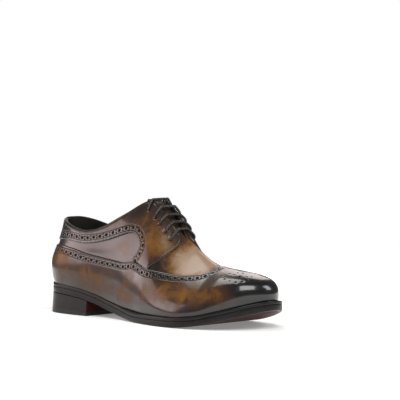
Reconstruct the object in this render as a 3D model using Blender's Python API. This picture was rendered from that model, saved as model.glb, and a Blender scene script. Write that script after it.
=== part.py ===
"""Longwing brogue: a man's five-eyelet derby for the right foot, standing empty on its sole.

X runs from heel to toe, Y from the lateral to the medial side and Z up, in metres. One surface, the
last's, is worked out from four driving sizes and the SECTIONS table. The upper is the wall just under
it, and the wing and the facings are leather layers just over it.
"""
import math

import bpy
import numpy as np
from mathutils import Vector

# Driving sizes
LAST_LENGTH = 0.294
BALL_WIDTH = 0.095
INSTEP_HEIGHT = 0.121
HEEL_HEIGHT = 0.022

# Thicknesses and clearances
GAP = 0.0003
UPPER_WALL = 0.0022
OVERLAY = 0.0012
WELT = 0.0032
SOLE_EDGE = 0.0095
INSOLE_RISE = 0.0015
TONGUE = 0.0020
LACE_RADIUS = 0.0011
EYELET_RADIUS = 0.0024

# Places along the last
HEEL_FEATHER_X = 0.005
SLOT_END = 9
POLE = 14
LAST_STATION = 15
HEEL_BREAST_STATION = 4
TOE_SLOPE = 0.22

# Meshing: columns between two sections, more round the heel and the toe, and panels up the side
FINE_COLUMNS = 3
COARSE_COLUMNS = 2
COARSE_FROM, COARSE_TO = 3, 11
PANELS_UP = 8

# Cross sections from the heel seam to the toe tip, as shares of the driving sizes: x of the length, y,
# bulge and reach of the ball width, z, rise and drop of the instep height. Each side climbs from the
# feather edge to the topline, throat or ridge on a cubic curve: rise and bulge aim its foot, reach and
# drop aim its head.
SECTION_COLUMNS = (
    "feather_x", "lateral_y", "medial_y", "top_x", "top_y", "half_gap", "lateral_z", "medial_z",
    "rise", "bulge", "reach", "drop",
)
SECTIONS = (
    (0.000, 0.000, 0.000, 0.039, 0.000, 0.000, 0.818, 0.818, 0.231, 0.115, 0.074, 0.314),
    (0.015, -0.174, 0.174, 0.048, 0.000, 0.121, 0.814, 0.814, 0.231, 0.106, 0.074, 0.306),
    (0.065, -0.300, 0.300, 0.082, 0.000, 0.216, 0.789, 0.789, 0.231, 0.084, 0.032, 0.231),
    (0.146, -0.337, 0.332, 0.146, 0.000, 0.279, 0.748, 0.744, 0.215, 0.063, 0.016, 0.165),
    (0.241, -0.337, 0.316, 0.221, 0.000, 0.311, 0.727, 0.715, 0.198, 0.053, 0.011, 0.149),
    (0.333, -0.332, 0.274, 0.306, 0.000, 0.300, 0.769, 0.756, 0.198, 0.063, 0.042, 0.149),
    (0.418, -0.353, 0.263, 0.391, 0.000, 0.232, 0.876, 0.868, 0.215, 0.074, 0.105, 0.165),
    (0.493, -0.400, 0.311, 0.486, 0.000, 0.095, 1.000, 1.000, 0.231, 0.074, 0.189, 0.182),
    (0.568, -0.458, 0.379, 0.558, 0.000, 0.079, 0.860, 0.860, 0.215, 0.063, 0.211, 0.066),
    (0.650, -0.500, 0.458, 0.626, 0.000, 0.000, 0.698, 0.698, 0.198, 0.058, 0.137, 0.017),
    (0.724, -0.505, 0.489, 0.694, 0.000, 0.000, 0.579, 0.579, 0.174, 0.047, 0.126, 0.008),
    (0.799, -0.468, 0.479, 0.779, 0.000, 0.000, 0.486, 0.486, 0.165, 0.037, 0.179, 0.000),
    (0.874, -0.384, 0.426, 0.854, 0.011, 0.000, 0.455, 0.455, 0.174, 0.032, 0.274, 0.000),
    (0.942, -0.247, 0.321, 0.888, 0.026, 0.000, 0.445, 0.445, 0.174, 0.032, 0.295, 0.000),
    (0.986, -0.084, 0.200, 0.901, 0.037, 0.000, 0.437, 0.437, 0.165, 0.032, 0.263, 0.000),
    (1.000, 0.063, 0.063, 0.901, 0.037, 0.000, 0.437, 0.437, 0.157, 0.032, 0.253, 0.000),
)

# Underside of the outsole: share of the last's length from its heel, share of the heel height
SOLE_LINE = (
    (-0.020, 1.00), (0.085, 0.955), (0.187, 0.84), (0.272, 0.636), (0.357, 0.341), (0.442, 0.114),
    (0.544, 0.0), (0.704, 0.0), (0.799, 0.105), (0.874, 0.318), (0.942, 0.568), (1.020, 0.886),
)
# How far the sole's edge stands out from the feather edge: share of the length, metres
SOLE_MARGIN = (
    (0.0, 0.0030), (0.10, 0.0025), (0.25, 0.0025), (0.39, 0.0030), (0.53, 0.0052), (1.0, 0.0055),
)
HEEL_FLARE = 0.0012

# The wing's columns: station on the feather edge, then station and share of its upper edge
WING = (
    (0.00, 0.00, 0.700), (0.36, 0.36, 0.695), (0.70, 0.70, 0.630), (1.40, 1.40, 0.622),
    (2.20, 2.20, 0.620), (3.00, 3.00, 0.608), (3.70, 3.70, 0.604), (4.80, 4.80, 0.555),
    (6.20, 6.20, 0.459), (7.00, 7.00, 0.438), (7.90, 7.90, 0.417), (8.60, 8.60, 0.435),
    (9.25, 9.25, 0.467), (9.90, 9.90, 0.517), (10.50, 10.40, 0.577), (11.00, 10.78, 0.640),
    (11.60, 11.04, 0.733), (12.50, 11.12, 0.837), (13.60, 11.08, 0.930), (15.00, 10.94, 1.000),
    (15.00, 12.40, 1.000), (15.00, 14.00, 1.000), (15.00, 15.00, 1.000),
)
# A facing with its collar band, by columns: station and share on its lower edge, then on its upper and
# front edges. A share over one runs the column out past the topline.
FACING = (
    (0.03, 0.735, 0.03, 1.03), (1.30, 0.745, 1.30, 1.03), (2.50, 0.757, 2.50, 1.03),
    (3.30, 0.762, 3.30, 1.03), (4.10, 0.776, 4.10, 1.03), (4.90, 0.776, 4.90, 1.03),
    (5.60, 0.757, 5.60, 1.03), (6.20, 0.735, 6.20, 1.03), (6.65, 0.685, 6.75, 1.03),
    (7.00, 0.620, 7.20, 1.03), (7.18, 0.570, 7.80, 1.02), (7.09, 0.520, 8.40, 0.97),
    (6.92, 0.480, 8.85, 0.90), (6.82, 0.451, 8.96, 0.82), (7.40, 0.437, 8.92, 0.72),
    (7.80, 0.427, 8.70, 0.60), (8.10, 0.423, 8.15, 0.455),
)
# Eyelets of one side from the top one down: station and share, then the share of the facing's edge there
EYELETS = (
    (7.06, 0.883, 1.0), (7.55, 0.852, 1.0), (7.91, 0.838, 1.0), (8.26, 0.805, 0.985),
    (8.57, 0.765, 0.955),
)
# The tongue by cross sections: station, share where its edge lies, depth of its top under the surface
TONGUE_SECTIONS = (
    (7.00, 0.86, 0.0060), (7.50, 0.82, 0.0060), (8.00, 0.78, 0.0060), (8.50, 0.74, 0.0058),
    (9.00, 0.72, 0.0045), (9.50, 0.74, 0.0030), (9.90, 0.80, 0.0026),
)
TONGUE_TIP = 0.005

# The lace's centre line: heights over the last's surface on the leather, under it and at an eyelet's two
# mouths, how far up a bar levels out, and where the hidden end runs beside the eyelets
LACE_OVER = 0.0030
LACE_UNDER = -0.0040
MOUTH_OVER = 0.0012
MOUTH_UNDER = -0.0037
BAR_LEVELS_AFTER = 0.035
END_RUN_BACK, END_RUN_UP = 0.12, 0.065
HIDDEN_END_BACK, HIDDEN_END_DOWN = 0.10, 0.03

# The cutters that outline the wing and the facings, and the pins that punch the eyelets
CUTTER_DEPTH = -0.0015
CUTTER_HEIGHT = 0.0035
CUTTER_PANELS = 10
BELOW_FEATHER = -0.04
PIN_SIDES = 10
PIN_HALF_LENGTH = 0.008

# Colour, roughness
LOOKS = {
    "upper": ((0.30, 0.22, 0.16), 0.25),
    "wing": ((0.11, 0.06, 0.03), 0.20),
    "facing": ((0.20, 0.12, 0.06), 0.25),
    "tongue": ((0.16, 0.10, 0.06), 0.35),
    "insole": ((0.06, 0.05, 0.04), 0.60),
    "welt": ((0.015, 0.013, 0.012), 0.40),
    "outsole": ((0.10, 0.015, 0.012), 0.45),
    "heel": ((0.012, 0.011, 0.010), 0.50),
    "laces": ((0.02, 0.02, 0.022), 0.55),
}

LATERAL, MEDIAL = -1, 1
SECTION = dict(zip(SECTION_COLUMNS, np.array(SECTIONS).T))


def smooth(values, before, after, position):
    """Smooth value at a fractional row of a table column, from the values on either side of it."""
    padded = np.concatenate(([before], values, [after]))
    row = np.clip(np.floor(position).astype(int), 0, len(values) - 2)
    f = position - row
    weights = (
        -f + 2 * f**2 - f**3,
        2 - 5 * f**2 + 3 * f**3,
        f + 4 * f**2 - 3 * f**3,
        f**3 - f**2,
    )
    return 0.5 * sum(weight * padded[row + k] for k, weight in enumerate(weights))


def along(name, mirror_name, sign, station):
    """A section column at a station. Past both ends it runs on down the other side of the last."""
    mirror = sign * SECTION[mirror_name]
    return smooth(SECTION[name], mirror[1], mirror[-2], station)


def profile(table, at):
    """Smooth value through the rows of a two-column table, without overshoot."""
    place, value = np.array(table).T
    slope = np.diff(value) / np.diff(place)
    product = slope[:-1] * slope[1:]
    total = np.where(product > 0, slope[:-1] + slope[1:], 1.0)
    inner = np.where(product > 0, 2 * product / total, 0.0)
    tangent = np.concatenate(([slope[0]], inner, [slope[-1]]))
    k = np.clip(np.searchsorted(place, at) - 1, 0, len(place) - 2)
    width = place[k + 1] - place[k]
    f = (at - place[k]) / width
    rise = value[k + 1] - value[k]
    return value[k] + rise * f * f * (3 - 2 * f) + width * f * (1 - f) * (
        tangent[k] * (1 - f) - tangent[k + 1] * f)


def sole_bottom(x):
    """Height of the outsole's underside."""
    return HEEL_HEIGHT * profile(SOLE_LINE, (x - HEEL_FEATHER_X) / LAST_LENGTH)


def welt_top(x):
    """Height of the welt's upper face, which carries the upper."""
    return sole_bottom(x) + SOLE_EDGE


def feather(side, station):
    """Plan of the feather edge, where upper and welt meet, with its outward normal."""
    own, other = ("lateral_y", "medial_y") if side == LATERAL else ("medial_y", "lateral_y")

    def plan(at):
        x = HEEL_FEATHER_X + LAST_LENGTH * along("feather_x", "feather_x", 1, at)
        return np.stack([x, BALL_WIDTH * along(own, other, 1, at)], axis=-1)

    step = 0.001
    run = plan(station + step) - plan(station - step)
    normal = side * np.stack([-run[..., 1], run[..., 0]], axis=-1)
    return plan(station), normal / np.linalg.norm(normal, axis=-1, keepdims=True)


def top_line(side, station):
    """Topline, throat edge, ridge and toe pole, one rail from the heel seam to the toe."""
    own, other = ("lateral_z", "medial_z") if side == LATERAL else ("medial_z", "lateral_z")
    at = np.minimum(station, POLE)
    gap = np.where(at < SLOT_END, np.maximum(along("half_gap", "half_gap", -1, at), 0), 0)
    x = HEEL_FEATHER_X + LAST_LENGTH * along("top_x", "top_x", 1, at)
    y = BALL_WIDTH * (along("top_y", "top_y", 1, at) + side * gap)
    z = INSTEP_HEIGHT * along(own, other, 1, at)
    return np.stack([x, y, z], axis=-1)


def last_surface(side, station, share):
    """Points of the last's surface: station along it, share of the climb from feather edge to top."""
    plan, normal = feather(side, station)
    foot = np.stack([plan[:, 0], plan[:, 1], welt_top(plan[:, 0]) + GAP], axis=1)
    top = top_line(side, station)
    rise = INSTEP_HEIGHT * along("rise", "rise", 1, station)
    bulge = BALL_WIDTH * along("bulge", "bulge", 1, station)
    reach = BALL_WIDTH * along("reach", "reach", 1, station)
    drop = INSTEP_HEIGHT * along("drop", "drop", 1, station)
    outward = (foot - top)[:, :2]
    outward /= np.linalg.norm(outward, axis=1, keepdims=True)
    slope = TOE_SLOPE * np.clip(station - SLOT_END, 0, 1)
    low_handle = foot.copy()
    low_handle[:, :2] += normal * bulge[:, None]
    low_handle[:, 2] += rise
    high_handle = top.copy()
    high_handle[:, :2] += outward * reach[:, None]
    high_handle[:, 2] -= drop + slope * outward[:, 0] * reach
    t = share[:, None]
    return ((1 - t)**3 * foot + 3 * (1 - t)**2 * t * low_handle
            + 3 * (1 - t) * t**2 * high_handle + t**3 * top)


def weld(points, faces):
    """Join points that coincide, and drop what collapses."""
    tolerance = 1e-6
    cells = np.round(points / tolerance)
    _, first, index = np.unique(cells, axis=0, return_index=True, return_inverse=True)
    index = index.ravel()
    joined = []
    for face in faces:
        ring = [index[v] for k, v in enumerate(face) if index[v] != index[face[k - 1]]]
        if len(set(ring)) > 2:
            joined.append(tuple(int(v) for v in ring))
    return points[first], joined, first, index


def last_normals(side, station, share):
    """Outward normals of the last's surface, taken just short of the top, where the columns may meet."""
    step = 0.005
    share = np.minimum(share, 1 - 3 * step)
    along_last = last_surface(side, station + step, share) - last_surface(side, station - step, share)
    up_side = last_surface(side, station, share + step) - last_surface(side, station, share - step)
    normals = -side * np.cross(along_last, up_side)
    return normals / np.linalg.norm(normals, axis=1, keepdims=True)


def spot(side, station, share, height=0.0):
    """One point at a height over the last's surface, and its outward normal."""
    station, share = np.array([station]), np.array([share])
    normal = last_normals(side, station, share)[0]
    return last_surface(side, station, share)[0] + height * normal, normal


def sheet(columns, closed):
    """The last's surface meshed by columns of (side, stations, shares): points, faces, outward normals
    and which points lie on the feather edge."""
    points = np.concatenate([last_surface(*column) for column in columns])
    normals = np.concatenate([last_normals(*column) for column in columns])
    share = np.concatenate([shares for _, _, shares in columns])
    height = len(columns[0][1])
    faces = []
    for c in range(len(columns) if closed else len(columns) - 1):
        here, there = c * height, (c + 1) % len(columns) * height
        for r in range(height - 1):
            faces.append((here + r, there + r, there + r + 1))
            faces.append((here + r, there + r + 1, here + r + 1))
    welded, faces, first, index = weld(points, faces)
    shared = np.zeros_like(welded)
    np.add.at(shared, index, normals)
    shared /= np.linalg.norm(shared, axis=1, keepdims=True)
    return welded, faces, shared, share[first] == 0


def point_normals(points, faces):
    """Mean normal of the faces round each point."""
    normals = np.zeros_like(points)
    for face in faces:
        corner = points[list(face)]
        normals[list(face)] += np.cross(corner[2] - corner[0], corner[-1] - corner[1])
    return normals / np.linalg.norm(normals, axis=1, keepdims=True)


def shell(skin, low, high):
    """Closed layer of leather between two heights over a sheet, its foot cut parallel to the welt."""
    points, faces, normals, on_feather = skin
    level = normals.copy()
    level[on_feather, 2] = 0
    level /= np.linalg.norm(level, axis=1, keepdims=True)
    layers = []
    for height in (low, high):
        layer = points + level * height
        layer[on_feather, 2] = welt_top(layer[on_feather, 0]) + GAP
        layers.append(layer)
    count = len(points)
    solid = [tuple(reversed(face)) for face in faces]
    solid += [tuple(v + count for v in face) for face in faces]
    edges = {(face[k - 1], v) for face in faces for k, v in enumerate(face)}
    for a, b in sorted(edges):
        if (b, a) not in edges:
            solid.append((b + count, a + count, a, b))
    return np.concatenate(layers), solid


def all_stations():
    """Stations of the mesh's columns from the heel seam to the toe tip."""
    runs = ((0, COARSE_FROM, FINE_COLUMNS), (COARSE_FROM, COARSE_TO, COARSE_COLUMNS),
            (COARSE_TO, LAST_STATION, FINE_COLUMNS))
    parts = [np.arange((end - start) * columns) / columns + start for start, end, columns in runs]
    return np.append(np.concatenate(parts), LAST_STATION)


def full_columns():
    """Columns round the whole last, from the heel seam along the lateral side to the toe and back."""
    stations = all_stations()
    shares = np.linspace(0, 1, PANELS_UP + 1)
    columns = [(LATERAL, np.full(PANELS_UP + 1, s), shares) for s in stations]
    columns += [(MEDIAL, np.full(PANELS_UP + 1, s), shares) for s in stations[-2:0:-1]]
    return columns


def table_rows(table, per_row):
    """A table with smooth rows added between its own."""
    position = np.linspace(0, len(table) - 1, (len(table) - 1) * per_row + 1)
    columns = np.array(table).T
    filled = [smooth(c, 2 * c[0] - c[1], 2 * c[-1] - c[-2], position) for c in columns]
    return np.stack(filled, axis=1)


def new_object(name, points, faces, look=None, sharp_angle=35):
    mesh = bpy.data.meshes.new(name)
    mesh.from_pydata([tuple(map(float, p)) for p in points], [], faces)
    mesh.validate()
    mesh.shade_smooth()
    mesh.set_sharp_from_angle(angle=math.radians(sharp_angle))
    shape = bpy.data.objects.new(name, mesh)
    bpy.context.scene.collection.objects.link(shape)
    if look:
        paint(shape, name, look)
    else:
        shape.hide_render = True
        shape.display_type = "WIRE"
    return shape


def paint(shape, name, look):
    colour, roughness = LOOKS[look]
    material = bpy.data.materials.new(name)
    material.use_nodes = True
    shader = material.node_tree.nodes["Principled BSDF"]
    shader.inputs["Base Color"].default_value = (*colour, 1)
    shader.inputs["Roughness"].default_value = roughness
    shader.inputs["Metallic"].default_value = 0
    shape.data.materials.append(material)


def cut(shape, cutter, operation):
    boolean = shape.modifiers.new(cutter.name, "BOOLEAN")
    boolean.operation = operation
    boolean.solver = "EXACT"
    boolean.object = cutter


# Panels of the upper

def wing_cutter():
    """Thick band round the whole shoe inside the wing's outline."""
    rows = table_rows(WING, 2)
    columns = [wing_column(LATERAL, row) for row in rows]
    columns += [wing_column(MEDIAL, row) for row in rows[-2:0:-1]]
    return new_object("wing_outline", *shell(sheet(columns, True), CUTTER_DEPTH, CUTTER_HEIGHT))


def wing_column(side, row):
    limits = (LAST_STATION, LAST_STATION, 1)
    foot_station, top_station, top_share = np.minimum(np.round(row, 6), limits)
    climb = np.linspace(0, 1, CUTTER_PANELS + 1)
    shares = BELOW_FEATHER + (top_share - BELOW_FEATHER) * climb
    return side, foot_station + (top_station - foot_station) * climb, shares


def facing_cutter(side, name):
    """Thick patch inside the outline of one facing and its collar band."""
    columns = []
    climb = np.linspace(0, 1, CUTTER_PANELS + 1)
    for low_station, low_share, high_station, high_share in table_rows(FACING, 2):
        stations = low_station + (high_station - low_station) * climb
        columns.append((side, stations, low_share + (high_share - low_share) * climb))
    if side == MEDIAL:
        columns.reverse()
    return new_object(name, *shell(sheet(columns, False), CUTTER_DEPTH, CUTTER_HEIGHT))


def eyelet_cutter():
    """Ten pins square to the leather, which punch the lace holes."""
    points, faces = [], []
    for side in (LATERAL, MEDIAL):
        for station, share, _ in EYELETS:
            centre, normal = spot(side, station, share)
            across = np.cross(normal, (1.0, 0.0, 0.0))
            across /= np.linalg.norm(across)
            beside = np.cross(normal, across)
            start = len(points)
            for end in (-PIN_HALF_LENGTH, PIN_HALF_LENGTH):
                for k in range(PIN_SIDES):
                    angle = 2 * math.pi * k / PIN_SIDES
                    points.append(centre + end * normal + EYELET_RADIUS * (
                        math.cos(angle) * across + math.sin(angle) * beside))
            faces.append(tuple(start + k for k in reversed(range(PIN_SIDES))))
            faces.append(tuple(start + PIN_SIDES + k for k in range(PIN_SIDES)))
            for k in range(PIN_SIDES):
                after = (k + 1) % PIN_SIDES
                over = start + PIN_SIDES
                faces.append((start + k, start + after, over + after, over + k))
    return new_object("eyelet_pins", points, faces)


def make_upper_panels():
    pins = eyelet_cutter()
    skin = sheet(full_columns(), True)
    upper = new_object("upper", *shell(skin, -UPPER_WALL, 0), look="upper")
    cut(upper, pins, "DIFFERENCE")
    wing = new_object("wing", *shell(skin, GAP, GAP + OVERLAY), look="wing")
    cut(wing, wing_cutter(), "INTERSECT")
    for side, name in ((LATERAL, "facing_lateral"), (MEDIAL, "facing_medial")):
        facing = new_object(name, *shell(skin, GAP, GAP + OVERLAY), look="facing")
        cut(facing, facing_cutter(side, name + "_outline"), "INTERSECT")
        cut(facing, pins, "DIFFERENCE")


def make_tongue():
    """Strap of leather under the lacing, from under the vamp to just over the facings."""
    rows = table_rows(TONGUE_SECTIONS, 2)
    half = 4
    sections = []
    for station, edge, depth in rows:
        section = []
        climb = np.linspace(edge, 1, half)
        for side, shares in ((LATERAL, climb), (MEDIAL, climb[::-1])):
            for share in shares:
                section.append(spot(side, station, share, -depth)[0])
        sections.append(section)
    sections = np.array(sections)
    tip = sections[0] - sections[1]
    tip *= TONGUE_TIP / np.linalg.norm(tip, axis=1, keepdims=True)
    sections = np.concatenate(([sections[0] + tip], sections))
    count, wide = sections.shape[:2]
    faces = []
    for r in range(count - 1):
        for c in range(wide - 1):
            here = r * wide + c
            faces.append((here, here + wide, here + wide + 1, here + 1))
    points = sections.reshape(-1, 3)
    faces = [tuple(reversed(face)) for face in faces] if upside_down(points, faces) else faces
    skin = (points, faces, point_normals(points, faces), np.zeros(len(points), bool))
    new_object("tongue", *shell(skin, -TONGUE, 0), look="tongue")


def upside_down(points, faces):
    return point_normals(points, faces)[:, 2].mean() < 0


# Bottom of the shoe

def plate(name, look, stations, top_margin, bottom_margin, top_height, bottom_height):
    """Solid between two outlines at margins from the feather edge, its heights worked out from x."""
    points, faces = [], []
    for side in (LATERAL, MEDIAL):
        for margin, height in ((bottom_margin, bottom_height), (top_margin, top_height)):
            plan, normal = feather(side, stations)
            flat = plan + normal * margin(plan[:, 0])[:, None]
            points.append(np.column_stack([flat, height(flat[:, 0])]))
    points = np.concatenate(points)
    count = len(stations)
    low_l, high_l, low_m, high_m = (k * count for k in range(4))
    for k in range(count - 1):
        n = k + 1
        faces.append((low_l + k, low_m + k, low_m + n, low_l + n))
        faces.append((high_l + k, high_l + n, high_m + n, high_m + k))
        faces.append((low_l + k, low_l + n, high_l + n, high_l + k))
        faces.append((low_m + k, high_m + k, high_m + n, low_m + n))
    faces.append((low_l, high_l, high_m, low_m))
    n = count - 1
    faces.append((low_l + n, low_m + n, high_m + n, high_l + n))
    points, faces, _, _ = weld(points, faces)
    return new_object(name, points, faces, look=look)


def sole_margin(x):
    return profile(SOLE_MARGIN, (x - HEEL_FEATHER_X) / LAST_LENGTH)


def fixed(value):
    return lambda x: np.full_like(x, value)


def make_bottom():
    stations = all_stations()
    seat = WELT + GAP
    plate("outsole", "outsole", stations, sole_margin, sole_margin,
          lambda x: welt_top(x) - seat, sole_bottom)
    inner_edge = -(UPPER_WALL + 2 * GAP)
    welt = plate("welt", "welt", stations, sole_margin, sole_margin,
                 welt_top, lambda x: welt_top(x) - WELT)
    window = plate("welt_window", None, stations, fixed(inner_edge), fixed(inner_edge),
                   lambda x: welt_top(x) + WELT, lambda x: welt_top(x) - 2 * WELT)
    cut(welt, window, "DIFFERENCE")
    insole_edge = inner_edge - GAP
    plate("insole", "insole", stations, fixed(insole_edge), fixed(insole_edge),
          lambda x: welt_top(x) + INSOLE_RISE, lambda x: welt_top(x) - WELT)
    heel_stations = stations[stations <= HEEL_BREAST_STATION]
    plate("heel", "heel", heel_stations, sole_margin, lambda x: sole_margin(x) + HEEL_FLARE,
          lambda x: sole_bottom(x) - GAP, fixed(0.0))


# Laces

def lace_route():
    """Places of the one lace, as (side, station, share, height): bars over, runs under between them."""
    side = LATERAL
    top_station, top_share, _ = EYELETS[0]
    route = [(side, top_station - HIDDEN_END_BACK, top_share - HIDDEN_END_DOWN, LACE_UNDER)]
    for k, (station, share, edge) in enumerate(EYELETS):
        half_bar = [
            (station, share, MOUTH_UNDER),
            (station, share, MOUTH_OVER),
            (station, share + BAR_LEVELS_AFTER, LACE_OVER),
            (station, edge, LACE_OVER),
        ]
        route += [(side, *place) for place in half_bar]
        side = -side
        route += [(side, *place) for place in reversed(half_bar)]
        if k + 1 < len(EYELETS):
            next_station, next_share, _ = EYELETS[k + 1]
            route.append((side, (station + next_station) / 2, (share + next_share) / 2, LACE_UNDER))
    for station, share, _ in reversed(EYELETS):
        route.append((side, station - END_RUN_BACK, share + END_RUN_UP, LACE_UNDER))
    return route


def lace_points():
    """Centre line of the lace, a smooth curve through its places."""
    places = []
    for side, station, share, height in lace_route():
        places.append(spot(side, station, share, height)[0])
    return table_rows(places, 2)


def make_laces():
    points = lace_points()
    curve = bpy.data.curves.new("laces", "CURVE")
    curve.dimensions = "3D"
    curve.bevel_depth = LACE_RADIUS
    curve.bevel_resolution = 2
    curve.use_fill_caps = True
    line = curve.splines.new("POLY")
    line.points.add(len(points) - 1)
    for knot, point in zip(line.points, points):
        knot.co = (*map(float, point), 1)
    laces = bpy.data.objects.new("laces", curve)
    bpy.context.scene.collection.objects.link(laces)
    paint(laces, "laces", "laces")


def stand_on_origin():
    """Move every piece, so that the origin is at the bottom centre of the shoe's box."""
    bpy.context.view_layer.update()
    shown = [shape for shape in bpy.data.objects if not shape.hide_render]
    corners = [shape.matrix_world @ Vector(corner) for shape in shown for corner in shape.bound_box]
    low, high = np.min(corners, axis=0), np.max(corners, axis=0)
    middle = Vector((low[0] + high[0], low[1] + high[1], 0)) / 2
    for shape in bpy.data.objects:
        shape.location -= middle


def main():
    for shape in list(bpy.data.objects):
        bpy.data.objects.remove(shape, do_unlink=True)
    make_upper_panels()
    make_tongue()
    make_bottom()
    make_laces()
    stand_on_origin()


main()
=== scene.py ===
"""Longwing brogue in hand-burnished calf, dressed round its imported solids.

X runs from heel to toe, Y from the lateral to the medial side and Z up, in metres. The leather is laid
over the same last as the solids. A place on it is a station round the foot and a share of the climb from
the feather edge to the top. Stations run from 0 to 15 along the lateral side, from the heel seam to the
toe, and on to 30 back along the medial side.
"""
import math

import bpy
import numpy as np
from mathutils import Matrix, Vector
from mathutils.geometry import delaunay_2d_cdt
from mathutils.kdtree import KDTree


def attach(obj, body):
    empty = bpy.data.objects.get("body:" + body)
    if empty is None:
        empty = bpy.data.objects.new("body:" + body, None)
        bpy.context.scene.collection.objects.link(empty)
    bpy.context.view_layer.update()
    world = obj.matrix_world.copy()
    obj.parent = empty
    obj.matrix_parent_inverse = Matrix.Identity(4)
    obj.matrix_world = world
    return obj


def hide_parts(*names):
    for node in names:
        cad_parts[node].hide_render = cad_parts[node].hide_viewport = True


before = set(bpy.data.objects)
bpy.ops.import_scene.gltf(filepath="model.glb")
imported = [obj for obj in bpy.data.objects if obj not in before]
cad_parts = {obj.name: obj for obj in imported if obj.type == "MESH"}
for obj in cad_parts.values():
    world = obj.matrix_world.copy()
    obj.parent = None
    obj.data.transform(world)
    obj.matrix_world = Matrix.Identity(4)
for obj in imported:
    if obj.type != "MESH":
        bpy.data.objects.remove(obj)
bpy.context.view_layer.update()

bl_info = {
    "name": "Longwing brogue",
    "version": (1, 0, 0),
    "blender": (4, 5, 0),
    "location": "View3D > Sidebar > Brogue",
    "description": "Dresses a longwing brogue in burnished calf, with its broguing, sole and laces",
    "category": "Object",
}

MM = 0.001

# The last: driving sizes and how it stands in the frame
LAST_LENGTH = 0.294
BALL_WIDTH = 0.095
INSTEP_HEIGHT = 0.121
HEEL_HEIGHT = 0.022
LAST_TO_FRAME = np.array((-0.152097, 0.000845, 0.0))
HEEL_FEATHER_X = 0.005
SLOT_END = 9
POLE = 14
TOE = 15
ROUND = 30
HEEL_BREAST = 4
TOE_SLOPE = 0.22
LATERAL, MEDIAL = -1, 1
# How near a place must be to a seam or an edge to lie on it
NEAR = 1e-6

# Thicknesses, from the solids
GAP = 0.3 * MM
UPPER_WALL = 2.2 * MM
OVERLAY = 1.2 * MM
WELT = 3.2 * MM
SOLE_EDGE = 9.5 * MM
INSOLE_RISE = 1.5 * MM
TONGUE = 2.0 * MM
HEEL_FLARE = 1.2 * MM

# Cross sections of the last from the heel seam to the toe tip, as shares of the driving sizes: x of the
# length, y, bulge and reach of the ball width, z, rise and drop of the instep height
SECTION_COLUMNS = (
    "feather_x", "lateral_y", "medial_y", "top_x", "top_y", "half_gap", "lateral_z", "medial_z",
    "rise", "bulge", "reach", "drop",
)
SECTIONS = (
    (0.000, 0.000, 0.000, 0.039, 0.000, 0.000, 0.818, 0.818, 0.231, 0.115, 0.074, 0.314),
    (0.015, -0.174, 0.174, 0.048, 0.000, 0.121, 0.814, 0.814, 0.231, 0.106, 0.074, 0.306),
    (0.065, -0.300, 0.300, 0.082, 0.000, 0.216, 0.789, 0.789, 0.231, 0.084, 0.032, 0.231),
    (0.146, -0.337, 0.332, 0.146, 0.000, 0.279, 0.748, 0.744, 0.215, 0.063, 0.016, 0.165),
    (0.241, -0.337, 0.316, 0.221, 0.000, 0.311, 0.727, 0.715, 0.198, 0.053, 0.011, 0.149),
    (0.333, -0.332, 0.274, 0.306, 0.000, 0.300, 0.769, 0.756, 0.198, 0.063, 0.042, 0.149),
    (0.418, -0.353, 0.263, 0.391, 0.000, 0.232, 0.876, 0.868, 0.215, 0.074, 0.105, 0.165),
    (0.493, -0.400, 0.311, 0.486, 0.000, 0.095, 1.000, 1.000, 0.231, 0.074, 0.189, 0.182),
    (0.568, -0.458, 0.379, 0.558, 0.000, 0.079, 0.860, 0.860, 0.215, 0.063, 0.211, 0.066),
    (0.650, -0.500, 0.458, 0.626, 0.000, 0.000, 0.698, 0.698, 0.198, 0.058, 0.137, 0.017),
    (0.724, -0.505, 0.489, 0.694, 0.000, 0.000, 0.579, 0.579, 0.174, 0.047, 0.126, 0.008),
    (0.799, -0.468, 0.479, 0.779, 0.000, 0.000, 0.486, 0.486, 0.165, 0.037, 0.179, 0.000),
    (0.874, -0.384, 0.426, 0.854, 0.011, 0.000, 0.455, 0.455, 0.174, 0.032, 0.274, 0.000),
    (0.942, -0.247, 0.321, 0.888, 0.026, 0.000, 0.445, 0.445, 0.174, 0.032, 0.295, 0.000),
    (0.986, -0.084, 0.200, 0.901, 0.037, 0.000, 0.437, 0.437, 0.165, 0.032, 0.263, 0.000),
    (1.000, 0.063, 0.063, 0.901, 0.037, 0.000, 0.437, 0.437, 0.157, 0.032, 0.253, 0.000),
)
SECTION = dict(zip(SECTION_COLUMNS, np.array(SECTIONS).T))
# Underside of the outsole: share of the last's length from its heel, share of the heel height
SOLE_LINE = (
    (-0.020, 1.00), (0.085, 0.955), (0.187, 0.84), (0.272, 0.636), (0.357, 0.341), (0.442, 0.114),
    (0.544, 0.0), (0.704, 0.0), (0.799, 0.105), (0.874, 0.318), (0.942, 0.568), (1.020, 0.886),
)
# How far the sole's edge stands out from the feather edge: share of the length, metres
SOLE_MARGIN = ((0.0, 0.0030), (0.10, 0.0025), (0.25, 0.0025), (0.39, 0.0030), (0.53, 0.0052), (1.0, 0.0055))

# Upper edge of the wing on one side, from the heel tab to the ridge of the vamp: station, share
WING_EDGE = (
    (0.00, 0.700), (0.36, 0.698), (0.70, 0.660), (1.40, 0.648), (2.20, 0.643), (3.00, 0.625), (3.70, 0.610),
    (4.80, 0.555), (6.20, 0.459), (7.00, 0.438), (7.90, 0.417), (8.60, 0.435), (9.25, 0.467), (9.90, 0.517),
    (10.40, 0.577), (10.78, 0.640), (11.04, 0.733), (11.12, 0.837), (11.08, 0.930), (10.94, 1.000),
)
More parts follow.
